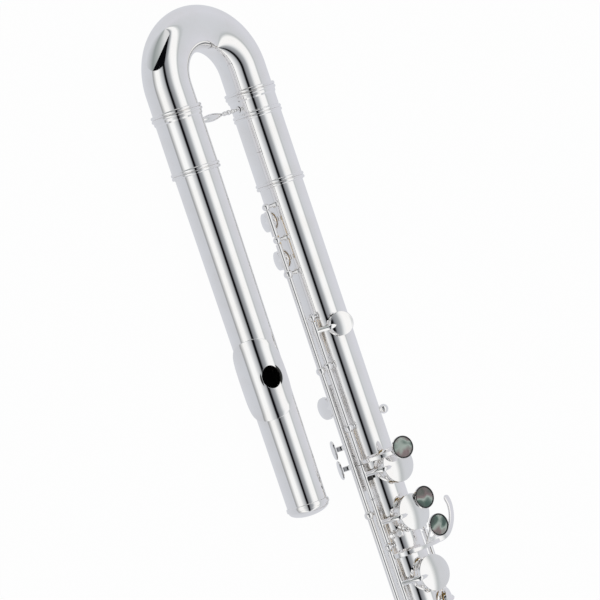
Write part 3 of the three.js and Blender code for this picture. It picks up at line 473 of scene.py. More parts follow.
# The brace between the crook's legs: a small silver plated casting, turned with a flat leaf,
# a row of beads and two feet, and soft soldered to both sleeves.
brace_at = (slope_end + barrel_top) / 2
brace_from = head_axis.y + sleeve_radius + gap
brace_to = -sleeve_radius - gap
brace_long = brace_to - brace_from
brace_stem = 0.02  # this and what follows in shares of the brace's length
leaf_start, leaf_end, leaf_half = 0.03, 0.6, 0.05
bead_places = [(0.66, 0.04), (0.76, 0.045), (0.86, 0.04), (0.93, 0.03)]  # each one's middle and radius
brace_outline = [(0, 0), (0, 0.05), (0.015, 0.05), (0.02, 0.022)]
for step in range(17):
    along = step / 16
    place = leaf_start + (leaf_end - leaf_start) * along
    brace_outline.append((place, brace_stem + leaf_half * sin(pi * along)))
for middle, radius in bead_places:
    brace_outline += arc(middle, brace_stem, -radius, radius - brace_stem, 0, pi, bead_steps)
brace_outline += [(0.97, 0.022), (0.985, 0.06), (1, 0.06), (1, 0)]
brace_outline = [(place * brace_long, radius * brace_long) for place, radius in brace_outline]
brace_turn = Matrix.Translation((brace_at, brace_from, 0)) @ Matrix.Rotation(pi / 2, 4, "Z")
plated(moved(spun("brace", brace_outline, sides=48), brace_turn), "crook", "crook_brace")

# The head tube: a drawn silver-plated tube that narrows towards its closed end, polished outside,
# with its bore painted near black as painted shade, and an oval opening under the lip plate.
# A near-black colour for the faces inside the bores: painted shade standing in for the dark inside of
# the tubes.
painted_bore_shade = finish("bore_painted_shade", (0.05, 0.048, 0.045), (0.02, 0.02, 0.02), 0.5, 0.7, metal=0.4)
head_start = -59.8
head_end = 215.7
crown_end_radius = 14.4
tube_wall = 0.5
riser_wall = 1.3
blow_at = 125.2
blow_long = 16
blow_wide = 13
blow_angle = 30
blow_rings = [blow_at - 12, blow_at + 12]
cut_reach = 30


def outward(angle, x=0, reach=0):
    """The placing of a piece that stands on the tube: its Z points away from the tube's axis."""
    turn = Matrix.Rotation(radians(angle), 4, "X")
    return Matrix.Translation((x, 0, 0)) @ turn @ Matrix.Translation((0, 0, reach))


def bar_through(name, long, wide, low, high, x, angle, sides=96):
    """An oval bar standing on the tube, used to cut openings."""
    alone()
    middle = (0, 0, (low + high) / 2)
    bpy.ops.mesh.primitive_cylinder_add(vertices=sides, radius=1, depth=high - low, location=middle)
    bpy.context.object.scale = (long / 2, wide / 2, 1)
    return moved(applied(name), outward(angle, x))


def cut(piece, tool, keep=False):
    modified(piece, "BOOLEAN", operation="DIFFERENCE", solver="EXACT", object=tool)
    if not keep:
        bpy.data.objects.remove(tool)


def bore_shaded(piece, inner, outer):
    """Gives the faces inside a bore the near-black colour of painted shade."""
    piece.data.materials.append(silver)
    piece.data.materials.append(painted_bore_shade)
    for face in piece.data.polygons:
        facing = face.normal.yz.dot(face.center.yz)
        face.material_index = 1 if face.center.yz.length < (inner + outer) / 2 and facing < 0 else 0


def head_radius(x):
    share = max(0, (x - receiver_end) / (head_end - receiver_end))
    return tube_radius + (crown_end_radius - tube_radius) * share


head_outside = [(x, head_radius(x)) for x in [head_start, receiver_end, *blow_rings, head_end]]
head_inside = [(x, radius - tube_wall) for x, radius in reversed(head_outside)]
head_tube = spun("head_tube", [*head_outside, *head_inside, head_outside[0]])
grown = 2 * (riser_wall + gap)
opening_size = (blow_long + grown, blow_wide + grown)
cut(head_tube, bar_through("opening", *opening_size, 0, cut_reach, blow_at, blow_angle))
bore_shaded(head_tube, crown_end_radius - tube_wall, tube_radius)
plated(on_head(head_tube), "head", "head_tube")

# The lip plate: a stamped oval sheet bent round the tube, soldered to a short oval riser,
# with the embouchure hole undercut and its edge polished.
plate_long = 57
plate_half_angle = 74
plate_angle = 54
plate_radius = 17.3
plate_offset = 1.9
plate_wall = 1.0
plate_rings = 14
plate_power = 2.5  # of the curve that its outline follows, between an oval and a rectangle
plate_turn_up = 0.25
riser_low, riser_high = 14.6, 18.0

alone()
bpy.ops.mesh.primitive_circle_add(vertices=round_sides, radius=1, fill_type="NOTHING")
lip_plate = bpy.context.object
lip_plate.name = "lip_plate"
bpy.ops.object.mode_set(mode="EDIT")
bpy.ops.mesh.select_all(action="SELECT")
for step in range(plate_rings - 1):
    bpy.ops.mesh.extrude_region_move()
    share = (plate_rings - 1 - step) / (plate_rings - step)
    bpy.ops.transform.resize(value=(share, share, 1), center_override=(0, 0, 0))
bpy.ops.mesh.edge_face_add()
bpy.ops.object.mode_set(mode="OBJECT")
for corner in lip_plate.data.vertices:
    size = corner.co.xy.length
    outline = (abs(corner.co.x) ** plate_power + abs(corner.co.y) ** plate_power) ** (1 / plate_power)
    fuller = size / max(1e-6, outline)
    x = corner.co.x * fuller * plate_long / 2
    around = corner.co.y * fuller * radians(plate_half_angle)
    reach = plate_radius + plate_turn_up * max(0, (size - 0.9) / 0.1)
    corner.co = (x, reach * sin(around), reach * cos(around))
alone(lip_plate)
bpy.ops.object.mode_set(mode="EDIT")
mended()
if lip_plate.data.polygons[0].normal.z < 0:
    lip_plate.data.flip_normals()
modified(lip_plate, "SOLIDIFY", thickness=plate_wall, offset=-1)
bevelled(lip_plate, 0.3, 3)
moved(lip_plate, outward(plate_angle, blow_at, plate_offset))
hole_tool = bar_through("embouchure", blow_long, blow_wide, 0, cut_reach, blow_at, blow_angle)
riser_size = (blow_long + 2 * riser_wall, blow_wide + 2 * riser_wall)
riser = bar_through("riser", *riser_size, riser_low, riser_high, blow_at, blow_angle)
cut(riser, hole_tool, keep=True)
cut(lip_plate, hole_tool)
bevelled(lip_plate, 0.25, 3, 60)
on_head(lip_plate)
plated(lip_plate, "head", "lip_plate")
on_head(riser)
# The riser takes the near-black bore colour all over: painted shade inside the embouchure hole.
dressed(riser, painted_bore_shade, "silver", "head", "lip_plate")

# The crown: a turned cap with a polished ring, which draws the stopper along the head by its screw.
# The stopper is a cork on a threaded rod, with a metal plate that faces the embouchure.
cork = finish("cork", (0.45, 0.27, 0.13), (0.2, 0.1, 0.05), 0.8, 0.95, metal=0.0, scale=900, depth=0.6)
crown_start = head_end + gap
crown_ring = 3.4
crown_ring_radius = 15.3
crown_long = 9
crown_plug = 5
crown_plug_radius = 13.6
crown_steps = 24
stopper_at = 153.2
stopper_long = 16
stopper_radius = 14.0
stopper_edge = 0.4
stopper_rod = 2.2
ring_end = crown_start + crown_ring
crown_outline = [
    (crown_start - crown_plug, 0), (crown_start - crown_plug, crown_plug_radius),
    (crown_start, crown_plug_radius), (crown_start, crown_ring_radius - 0.6),
    (crown_start + 0.3, crown_ring_radius - 0.2), (crown_start + 0.9, crown_ring_radius),
    (crown_start + crown_ring - 0.9, crown_ring_radius),
    (crown_start + crown_ring - 0.3, crown_ring_radius - 0.2),
    *arc(ring_end, 0, crown_long - crown_ring, crown_end_radius, pi / 2, 0, crown_steps),
]
plated(on_head(spun("crown", crown_outline)), "crown", "crown")
stopper_end = stopper_at + stopper_long
rod_end = crown_start - crown_plug - stopper_edge
stopper_outline = [
    (stopper_at, 0), (stopper_at, stopper_radius - stopper_edge),
    (stopper_at + stopper_edge, stopper_radius), (stopper_end - stopper_edge, stopper_radius),
    (stopper_end, stopper_radius - stopper_edge), (stopper_end, stopper_rod), (rod_end, stopper_rod),
    (rod_end, 0),
]
dressed(on_head(spun("stopper", stopper_outline, sides=64)), cork, "cork", "stopper", "stopper")

# The body: one drawn tube with its tone holes pulled out of the wall and their rims rolled,
# and a barrel with beads at both mouths soldered over its upper end.
body_start = -10
body_end = 588
rim_wall = 0.8
rim_roll = 0.55
large_rim = tube_radius + 2.25
small_rim = tube_radius + 1.55
large_hole = 10.5
large_cup = 13
drill_low, drill_high = 6, 24
hole_margin = 3
barrel_end_at = 2


def centre_of(node):
    low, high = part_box(node)
    return ((low + high) / 2 - barrel_end) / mm


def spot_of(pad, angle=0, radius=large_hole, rim=large_rim, cup=large_cup):
    """A tone hole: its pad, its angle, its radius, its rim's height and its cup's radius."""
    return SimpleNamespace(pad=pad, x=centre_of(pad).x, angle=angle, radius=radius, rim=rim, cup=cup)


holes = {
    "trill_one": spot_of("trill_one_pad", 114, 4.6, small_rim, 6.8),
    "trill_two": spot_of("trill_two_pad", 114, 4.6, small_rim, 6.8),
    "vent": spot_of("c_pad", 18, 6.4, small_rim, 8.6),
    "thumb": spot_of("thumb_b_pad", 113, 5.8, small_rim, 8),
    "b_flat": spot_of("b_flat_pad"),
    "a": spot_of("a_pad"),
    "upper_g": spot_of("upper_g_pad"),
    "lower_g": spot_of("lower_g_pad"),
    "g_sharp": spot_of("g_sharp_pad", -32, 6.3, small_rim, 8.6),
    "f_sharp": spot_of("f_sharp_pad"),
    "f": spot_of("f_pad"),
    "e": spot_of("e_pad"),
    "d": spot_of("d_pad"),
}
foot_holes = {
    "d_sharp": spot_of("d_sharp_pad", 88),
    "c_sharp": spot_of("c_sharp_pad", -48),
    "low_c": spot_of("low_c_pad", -48),
}


def drilled(tube, holes):
    """Cuts the tone holes and paints the tube's bore near black as painted shade."""
    for hole in holes:
        wide = 2 * hole.radius
        cut(tube, bar_through("drill", wide, wide, drill_low, drill_high, hole.x, hole.angle, 64))
    bore_shaded(tube, tube_bore, tube_radius)


def edges_of(holes):
    """The places just before and after each hole, where the tube gets a ring of corners."""
    return sorted(hole.x + side * (hole.radius + hole_margin) for hole in holes for side in (-1, 1))


def rim(hole):
    """The rolled rim of a tone hole, flared into the tube at its foot."""
    inner, outer = hole.radius, hole.radius + rim_wall
    profile = [(0, inner), (0.7, inner)]
    profile += arc(0.82, (inner + outer) / 2, rim_roll * 0.3, rim_roll, -pi / 2, pi / 2, 8)
    profile += [(0.6, outer), (0.35, outer), (0.15, outer + 0.35), (0.04, outer + 0.9)]
    profile += [(-0.12, outer + 1.4), (-0.12, inner), (0, inner)]
    piece = spun("rim_of_" + hole.pad, profile, "Z", 96)
    for corner in piece.data.vertices:
        low = sqrt(max(0, tube_radius**2 - corner.co.y**2))
        corner.co.z = low + corner.co.z * (hole.rim - low)
    return moved(piece, outward(hole.angle, hole.x))


body_outside = [(x, tube_radius) for x in [body_start, *edges_of(holes.values()), body_end]]
body_inside = [(x, tube_bore) for x, _ in reversed(body_outside)]
body_tube = spun("body_tube", [*body_outside, *body_inside, body_outside[0]])
drilled(body_tube, holes.values())
plated(body_tube, "body", "body_tube")
for hole in holes.values():
    plated(rim(hole), "body", "body_tube")
barrel_rings = [*ring(barrel_top, sleeve_radius), *ring(barrel_end_at - ring_width, sleeve_radius)]
barrel_mouth = (barrel_top, sleeve_inner)
barrel = spun("barrel", [barrel_mouth, *barrel_rings, (barrel_end_at, sleeve_inner), barrel_mouth])
plated(barrel, "body", "body_barrel")

# Ribs and posts: the ribs are thin strips soldered along the body, and each post is turned
# with a foot, a stem and a ball, which is drilled for the hinge steel. Needle springs stand in them.
steel = finish("polished_steel", (0.78, 0.78, 0.8), (0.6, 0.58, 0.56), 0.12, 0.25, scale=200)
spring_steel = finish("gilt_spring", (0.85, 0.6, 0.25), (0.55, 0.35, 0.12), 0.2, 0.35, scale=200)
post_sides = 40
rod_sides = 32
rod_edge = 0.15
stem_radius = 1.3
steel_radius = 1
foot_radius = 1.9
end_ball = 2.7
steady_ball = 3.3
rib_inner = 16.05
rib_outer = 16.85
rib_half = 4
screw_radius = 1.5
needle_low = 3.1
steel_past = 2.6  # how far the steels, the screws' heads and the ribs reach past the middle of a post
screw_past = 2.3
rib_past = 3.5
upper_rib_end, lower_rib_start = 357.9, 358.4
main_line = (68, 23.5)  # each hinge line's angle from the top towards the player, and its reach
trill_line = (80, 26)
thumb_line = (83, 20.2)
side_line = (-78, 22)
foot_line = (20, 23.5)
d_sharp_line = (46, 22.5)
main_posts = [96.95, 265.2, 354.9]
main_steadies = [132.4, 177.8]
lower_posts = [361.4, 451.9, 559.2]
trill_posts = [13.8, 38, 418.3, 471.9]
trill_steadies = [62.9, 134, 239.9, 345]
thumb_posts = [148.2, 220.3]
side_posts = [261.2, 327.1]
foot_posts = [603.4, 685.05, 755.05]
d_sharp_posts = [593.4, 625.25]


def ball_on(stem, ball, reach, steps):
    """The outline of a ball, from where it leaves its stem to its top."""
    return arc(reach, 0, ball, ball, pi - asin(stem / ball), 0, steps)


def post(x, line, ball, foot, body, node):
    """A turned post with its ball on the hinge line."""
    angle, reach = line
    profile = [(foot, 0), (foot, foot_radius + 0.5), (foot + 0.25, foot_radius + 0.35)]
    profile += [(foot + 0.5, foot_radius), (foot + 0.9, foot_radius), (foot + 1.1, stem_radius + 0.25)]
    profile += [(foot + 1.7, stem_radius), *ball_on(stem_radius, ball, reach, 16)]
    plated(moved(spun("post", profile, "Z", post_sides), outward(angle, x)), body, node)


def rod(x_from, x_to, line, radius, name="rod"):
    """A round bar along a hinge line."""
    outline = [(x_from, 0), (x_from, radius - rod_edge), (x_from + rod_edge, radius)]
    outline += [(x_to - rod_edge, radius), (x_to, radius - rod_edge), (x_to, 0)]
    angle, reach = line
    return moved(spun(name, outline, "X", rod_sides), outward(angle, 0, reach))


def rib(name, x_from, x_to, line, body, node):
    """A strip bent to the tube, with softened edges and rounded ends."""
    alone()
    size = (x_to - x_from, 2 * rib_outer * sin(radians(rib_half)), rib_outer - rib_inner)
    middle = ((x_from + x_to) / 2, 0, (rib_outer + rib_inner) / 2)
    bpy.ops.mesh.primitive_cube_add(size=1, location=middle, scale=size)
    strip = bevelled(applied(name), 0.25, 3)
    for corner in strip.data.vertices:
        around = corner.co.y / rib_outer
        corner.co.y, corner.co.z = corner.co.z * sin(around), corner.co.z * cos(around)
    plated(moved(strip, outward(line[0])), body, node)


def screw(x, side, line, body, node):
    """The slotted head of a pivot screw, on the outside of a post's ball."""
    outline = [(0, 0), (0, screw_radius), (0.35, screw_radius), (0.6, screw_radius - 0.25), (0.6, 0)]
    head = spun("pivot_screw", outline, "X", rod_sides)
    alone()
    bpy.ops.mesh.primitive_cube_add(size=1, location=(0.6, 0, 0), scale=(0.6, 4, 0.4))
    cut(head, applied("slot"))
    flip = Matrix.Scale(side, 4, (1, 0, 0))
    moved(head, outward(line[0], x, line[1]) @ flip)
    if side < 0:
        head.data.flip_normals()
    dressed(head, steel, "steel", body, node)


def needle(x, along, line, body, node):
    """A needle spring: a thin wire that tapers from a post towards a key's tube."""
    angle, reach = line
    outline = [(0, 0), (0, 0.38), (abs(along), 0.22), (abs(along), 0)]
    wire = spun("needle_spring", outline, "X", 12)
    flip = Matrix.Rotation(pi if along < 0 else 0, 4, "Z")
    moved(wire, outward(angle, x, reach - needle_low) @ flip)
    dressed(wire, spring_steel, "steel", body, node)


body_foot = tube_radius - gap
rib_foot = rib_outer - gap
for posts, line, ball, foot, node in [
    (main_posts, main_line, end_ball, rib_foot, "upper_rib"),
    (main_steadies, main_line, steady_ball, rib_foot, "upper_rib"),
    (lower_posts, main_line, end_ball, rib_foot, "lower_rib"),
    (trill_posts, trill_line, end_ball, body_foot, "body_tube"),
    (trill_steadies, trill_line, steady_ball, body_foot, "body_tube"),
    (thumb_posts, thumb_line, end_ball, body_foot, "body_tube"),
    (side_posts, side_line, end_ball, body_foot, "body_tube"),
]:
    for x in posts:
        post(x, line, ball, foot, "body", node)
rib("upper_rib", main_posts[0] - rib_past, upper_rib_end, main_line, "body", "upper_rib")
rib("lower_rib", lower_rib_start, lower_posts[-1] + rib_past, main_line, "body", "lower_rib")
for ends, line, node in [
    (main_posts, main_line, "upper_steel"),
    (lower_posts, main_line, "lower_steel"),
    (thumb_posts, thumb_line, "thumb_steel"),
    (side_posts, side_line, "g_sharp_steel"),
]:
    bar = rod(ends[0] - steel_past, ends[-1] + steel_past, line, steel_radius)
    dressed(bar, steel, "steel", "body", node)
    screw(ends[0] - screw_past, -1, line, "body", node)
    screw(ends[-1] + screw_past, 1, line, "body", node)
for x, along, line, node in [
    (main_posts[0], 26, main_line, "upper_rib"),
    (main_steadies[1], 22, main_line, "upper_rib"),
    (main_posts[1], -22, main_line, "upper_rib"),
    (main_posts[1], 24, main_line, "upper_rib"),
    (lower_posts[0], 24, main_line, "lower_rib"),
    (lower_posts[1], -24, main_line, "lower_rib"),
    (lower_posts[1], 24, main_line, "lower_rib"),
    (lower_posts[2], -24, main_line, "lower_rib"),
    (trill_posts[1], -16, trill_line, "body_tube"),
    (trill_posts[1], 16, trill_line, "body_tube"),
    (thumb_posts[0], 18, thumb_line, "body_tube"),
    (thumb_posts[1], -18, thumb_line, "body_tube"),
    (side_posts[1], -24, side_line, "body_tube"),
]:
    needle(x, along, line, "body", node)

# The hand-rest stud: a short turned post with a plain ball, silver plated brass,
# soldered to the tube on its far side below the thumb keys.
stud_at = 173.7
stud_angle = -62
stud_reach = 19
stud_ball = 3.4
stud_stem = 1.6
stud_outline = [(body_foot, 0), (body_foot, 2.4), (body_foot + 0.6, 2.3), (body_foot + 0.9, stud_stem)]
stud_outline += ball_on(stud_stem, stud_ball, stud_reach, 24)
stud = spun("hand_rest_stud", stud_outline, "Z", 48)
plated(moved(stud, outward(stud_angle, stud_at)), "body", "body_tube")

# Cups, pads and arms: each cup is stamped with a domed top and soldered to a forged arm, which rises
# from its hinge tube and ends in a point at the cup's middle. Its pad is felt under yellow skin.
skin_tones = ((0.72, 0.46, 0.1), (0.55, 0.3, 0.05))
skin = finish("pad_skin", *skin_tones, 0.45, 0.6, metal=0.0, scale=220, depth=0.25)
hinge_radius = 2
collar_high = 0.35
saddle_long = 5.4
saddle_high = 0.4
past_post = 3
pad_thick = 2.4
pad_proud = 0.8
cup_wall = 0.8
cup_dome = 1.1
cup_edge = 0.6
arm_wide = 3.4
arm_thick = 1.7
arm_tip = 1.2
main_open = 9.2


def polar(angle, reach, x=0):
    """A point beside the tube's axis, by its angle from the top and its reach."""
    return Vector((x, -reach * sin(radians(angle)), reach * cos(radians(angle))))


def opened(piece, line=main_line, angle=main_open):
    """Turns a piece that is drawn with its key closed to where the key stands at rest."""
    if not angle:
        return piece
    hinge = polar(*line)
    swing = Matrix.Rotation(radians(angle), 4, "X")
    return moved(piece, Matrix.Translation(hinge) @ swing @ Matrix.Translation(-hinge))


def smooth_path(points, steps=24):
    """Points along a smooth curve through the given ones."""
    points = [Vector(point) for point in points]
    ends = [2 * points[0] - points[1], *points, 2 * points[-1] - points[-2]]
    path = []
    spans = len(points) - 1
    for step in range(steps + 1):
        walked = spans * step / steps
        span = min(int(walked), spans - 1)
        t = walked - span
        a, b, c, d = ends[span : span + 4]
        square, cube = 2 * a - 5 * b + 4 * c - d, 3 * b - a - 3 * c + d
        path.append(0.5 * (2 * b + (c - a) * t + square * t**2 + cube * t**3))
    return path


# The sections of forged bars, in shares of their half width and of their thickness.
roof = [(-1, 0), (1, 0), (1, 0.45), (0.5, 0.72), (0, 1), (-0.5, 0.72), (-1, 0.45)]
plain = [(-0.8, 0), (0.8, 0), (1, 0.25), (1, 0.7), (0.75, 1), (-0.75, 1), (-1, 0.7), (-1, 0.25)]


def forged(name, path, widths, heights, section=roof, across=(1, 0, 0), up=None, soften=0.12):
    """A bar forged along a path: its section is extruded from station to station.
    across gives the way its width points, or up the way its thickness does,
    and widths and heights are one value each per station."""
    stations = []
    for i, point in enumerate(path):
        ahead = (path[min(i + 1, len(path) - 1)] - path[max(i - 1, 0)]).normalized()
        side = ahead.cross(Vector(up)) if up else Vector(across)
        side = (side - side.dot(ahead) * ahead).normalized()
        high = side.cross(ahead)
        frame_here = Matrix((side * widths[i] / 2, high * heights[i], ahead)).transposed().to_4x4()
        stations.append(Matrix.Translation(point) @ frame_here)
    mesh = bpy.data.meshes.new(name)
    start = [stations[0] @ Vector((a, b, 0)) for a, b in section]
    mesh.from_pydata(start, [], [range(len(start))])
    piece = placed(name, mesh)
    bpy.ops.object.mode_set(mode="EDIT")
    bpy.ops.mesh.select_all(action="SELECT")
    for before, after in zip(stations, stations[1:]):
        bpy.ops.mesh.extrude_region_move()
        bm = bmesh.from_edit_mesh(mesh)
        moving = [corner for corner in bm.verts if corner.select]
        bmesh.ops.transform(bm, matrix=after @ before.inverted(), verts=moving)
        bmesh.update_edit_mesh(mesh)
    mended()
    return bevelled(piece, soften, 2, 50)


def between(start, end, share):
    return start + (end - start) * share


def at_share(pairs, value):
    """The value that a table of (place, value) pairs gives at a place between its own."""
    pairs = sorted(pairs)
    if value <= pairs[0][0]:
        return pairs[0][1]
    for (x0, y0), (x1, y1) in zip(pairs, pairs[1:]):
        if value <= x1:
            return between(y0, y1, (value - x0) / (x1 - x0))
    return pairs[-1][1]


def dome(low, high, radius):
    """The outline of a shallow dome, from its edge to its top."""
    shares = [1 - step / 16 for step in range(1, 17)]
    return [(low + high * (1 - share**2), radius * share) for share in shares]


def cup(hole):
    """A stamped cup with a beaded edge and a domed top, over its tone hole."""
    low = hole.rim + gap + pad_proud
    roof_low = hole.rim + gap + pad_thick + gap
    roof_high = roof_low + cup_wall
    inner = hole.cup - cup_wall
    profile = [
        (roof_low, 0), (roof_low, inner), (low, inner), (low, hole.cup - 0.15),
        (low + 0.15, hole.cup + 0.12), (low + 0.5, hole.cup + 0.12), (low + 0.75, hole.cup),
    ]
    profile += arc(roof_high - cup_wall, hole.cup - cup_edge, cup_edge, cup_edge, pi / 2, 0, 4)
    edge_top = cup_edge - cup_wall
    profile += dome(roof_high + edge_top, cup_dome - edge_top, hole.cup - cup_edge)
    return moved(spun("cup_over_" + hole.pad, profile, "Z", 96), outward(hole.angle, hole.x))


def pad(hole):
    """A pad with the ring that the rim has pressed into it."""
    radius = hole.cup - cup_wall - gap
    low = hole.rim + gap
    seat = hole.radius + rim_wall / 2
    profile = [
        (low + 0.1, 0), (low + 0.1, seat - 1.2), (low + 0.22, seat), (low + 0.06, seat + 0.7),
        (low + 0.2, radius - 0.25), (low + 0.55, radius), (low + pad_thick, radius),
        (low + pad_thick, 0),
    ]
    return moved(spun("pad_of_" + hole.pad, profile, "Z", 72), outward(hole.angle, hole.x))


def arm(hole, line):
    """The pointed arm of a cup, drawn in the cup's own frame, where the hinge lies beside it."""
    angle, reach = line
    beside = radians(angle - hole.angle)
    hinge_y = -reach * sin(beside)
    hinge_z = reach * cos(beside)
    side = 1 if hinge_y > 0 else -1
    top = hole.rim + 2 * gap + pad_thick + cup_wall
    start = (0, hinge_y, hinge_z + hinge_radius - arm_thick)
    edge = (0, side * (hole.cup + arm_thick / 2), max(top, hinge_z) - arm_thick / 2)
    over = (0, side * hole.cup / 2, top + 0.1)
    end = (0, 0, top + cup_dome - 0.25)
    path = smooth_path([start, edge, over, end], 28)
    widths = []
    heights = []
    for point in path:
        on_cup = min(1, abs(point.y) / hole.cup)
        widths.append(between(arm_tip * 0.3, arm_wide, on_cup))
        heights.append(between(0.3, arm_thick, min(1, on_cup**2)))
    bar = forged("arm_to_" + hole.pad, path, widths, heights, across=(-side, 0, 0))
    return moved(bar, outward(hole.angle, hole.x))


def hinge_tube(x_from, x_to, line):
    """A key's tube, with a low collar turned at each of its ends."""
    profile = [(x_from, 0)]
    for end, inwards in [(x_from, 1), (x_to, -1)]:
        steps = [(0, -0.1), (0.15, collar_high), (1.0, collar_high), (1.2, 0)]
        collar = [(end + inwards * along, hinge_radius + high) for along, high in steps]
        profile += collar if inwards > 0 else collar[::-1]
    profile.append((x_to, 0))
    angle, reach = line
    return moved(spun("hinge_tube", profile, "X", 32), outward(angle, 0, reach))


def key_done(body, node, pieces, spots, line=main_line, angle=main_open):
    """Sets a key's silver pieces and its pads where the key stands at rest, and dresses them."""
    for piece in pieces:
        plated(opened(piece, line, angle), body, node)
    for hole in spots:
        dressed(opened(pad(hole), line, angle), skin, "pad", body, hole.pad)


half_gap = gap / 2
c_end = 204.4
flat_split = 229.8
f_sharp_split = 407.2
e_split = 514
for name, spots, x_from, x_to in [
    ("c", ["vent"], main_posts[0] + past_post, c_end - half_gap),
    ("b_flat", ["b_flat"], c_end + half_gap, flat_split - half_gap),
    ("a", ["a"], flat_split + half_gap, main_posts[1] - past_post),
    ("g", ["upper_g", "lower_g"], main_posts[1] + past_post, main_posts[2] - past_post),
    ("f_sharp", ["f_sharp"], lower_posts[0] + past_post, f_sharp_split - half_gap),
    ("f", ["f"], f_sharp_split + half_gap, lower_posts[1] - past_post),
    ("e", ["e"], lower_posts[1] + past_post, e_split - half_gap),
    ("d", ["d"], e_split + half_gap, lower_posts[2] - past_post),
]:
    pieces = [hinge_tube(x_from, x_to, main_line)]
    spots = [holes[spot] for spot in spots]
    for hole in spots:
        ends = (hole.x - saddle_long / 2, hole.x + saddle_long / 2)
        pieces += [cup(hole), arm(hole, main_line)]
        pieces.append(rod(*ends, main_line, hinge_radius + saddle_high, "saddle"))
    key_done(name, name + "_key", pieces, spots)


# Finger touches of the left hand: round silver holders with a disc of abalone shell set in each,
# carried by levers from their hinge tubes.
def shell_finish():
    """Abalone: thin wavy layers that pass from green and blue to pink, under a hard polish."""
    material = bpy.data.materials.new("abalone")
    material.use_nodes = True
    tree = material.node_tree
    place = added(tree, "TexCoord", {}).outputs["Object"]
    sockets = {"Vector": place, "Scale": 55, "Detail": 2, "Distortion": 0.6}
    drift = added(tree, "TexNoise", sockets).outputs["Fac"]
    sockets = {"Vector": place, "Scale": 20, "Distortion": 3, "Detail": 3, "Detail Scale": 1.5}
    bands = added(tree, "TexWave", sockets).outputs["Fac"]
    layers = [
        (0.32, (0.015, 0.05, 0.04)),
        (0.46, (0.07, 0.14, 0.11)),
        (0.57, (0.52, 0.6, 0.53)),
        (0.68, (0.3, 0.21, 0.21)),
        (0.86, (0.13, 0.14, 0.12)),
    ]
    colour = ramped(tree, layers, figured(tree, "MULTIPLY_ADD", bands, 0.25, drift))
    bump = added(tree, "Bump", {"Strength": 0.08, "Distance": grain_high, "Height": bands})
    sockets = {"Base Color": colour, "Normal": bump.outputs["Normal"]}
    sockets |= {"Roughness": 0.12, "Coat Weight": 0.6, "Coat Roughness": 0.04}
    fed(tree, tree.nodes["Principled BSDF"], sockets)
    return material


abalone = shell_finish()
horn = finish("black_horn", (0.012, 0.012, 0.013), (0.03, 0.028, 0.026), 0.2, 0.4, metal=0.0, scale=400)
touch_radius = 8
touch_high = 2.4
pearl_radius = 6.9
ring_outer = 7.9
pearl_high = 1.7
pearl_recess = 1.1
lever_wide = 3.6
lever_thick = 1.8


def touch(body, place, tilt=0):
    """A round holder, the shell disc in it and the dark ring round that."""
    profile = [
        (0, 0), (0, touch_radius - 1), (0.2, touch_radius - 0.5), (0.8, touch_radius),
        (touch_high - 0.25, touch_radius), (touch_high, touch_radius - 0.2),
        (touch_high, pearl_radius + gap), (touch_high - pearl_recess, pearl_radius + gap),
        (touch_high - pearl_recess, 0),
    ]
    low = touch_high - pearl_recess + gap
    disc_outline = [(low, 0), (low, pearl_radius), (low + 0.6, pearl_radius)]
    disc_outline += dome(low + 0.6, pearl_high - 0.6, pearl_radius)
    where = Matrix.Translation(place) @ Matrix.Rotation(radians(tilt), 4, "X")
    ring_low, ring_inner = touch_high - 0.9, pearl_radius + 0.05
    outline = [(ring_low, ring_inner), (ring_low, ring_outer), (touch_high, ring_outer)]
    outline += [(touch_high + 0.15, ring_outer - 0.3), (touch_high + 0.15, pearl_radius + 0.3)]
    outline += [(touch_high - 0.1, ring_inner), (ring_low, ring_inner)]
    for kind, turning, look, slot, node in [
        ("_holder", profile, silver, "silver", "_key"),
        ("_shell", disc_outline, abalone, "shell", "_touch"),
        ("_ring", outline, horn, "shell", "_touch"),
    ]:
        piece = moved(spun(body + "_touch" + kind, turning, "Z", 64), where)
        dressed(opened(piece), look, slot, body, body + node)


def lever(name, x, shares, plan, thick=lever_thick, steps=32):
    """A lever over the tube: its way by angle and reach, and its half width by place across the tube,
    all lengths in shares of the tube's radius."""
    path = smooth_path([polar(angle, share * tube_radius, x) for angle, share in shares], steps)
    side = 1 if path[-1].y > path[0].y else -1
    widths = [2 * at_share(plan, point.y / tube_radius) * tube_radius for point in path]
    lowered = [point - polar_up(point) * thick / 2 for point in path]
    return forged(name, lowered, widths, [thick] * len(path), plain, across=(side, 0, 0))


def polar_up(point):
    """The way out from the tube's axis at a point."""
    return Vector((0, point.y, point.z)).normalized()


c_touch_tilt = 9
c_lever_beside = 1.2
c_touch_at = (holes["b_flat"].x - 0.79 * large_cup, 0.08 * tube_radius, 1.87 * tube_radius)
c_path = [(68, 1.42), (52, 1.68), (30, 1.82), (10, 1.8), (-4, 1.85)]
c_plan = [(-1.7, 0.1), (-0.4, 0.1), (0.2, 0.2)]
plated(opened(lever("c_lever", c_touch_at[0] + c_lever_beside, c_path, c_plan)), "c", "c_key")
touch("c", c_touch_at, c_touch_tilt)
cup_top = large_rim + 2 * gap + pad_thick + cup_wall
a_touch_at = (holes["a"].x - 0.54 * large_cup, 0.82 * large_cup, cup_top - 0.4)
touch("a", a_touch_at)
g_touch_at = (between(holes["a"].x, holes["upper_g"].x, 0.33), 1.02 * tube_radius, 1.27 * tube_radius)
touch("g", g_touch_at)
g_arm_x = between(holes["a"].x, holes["upper_g"].x, 0.567)
g_path = [(68, 1.42), (46, 1.53), (26, 1.5), (0, 1.4), (-22, 1.42), (-42, 1.46)]
g_plan = [(-1.7, 0.133), (0.1, 0.09)]
leg_wide, leg_thick, leg_steps = 1.4, 1.2, 12
plated(opened(lever("g_lever", g_arm_x, g_path, g_plan, arm_thick)), "g", "g_key")
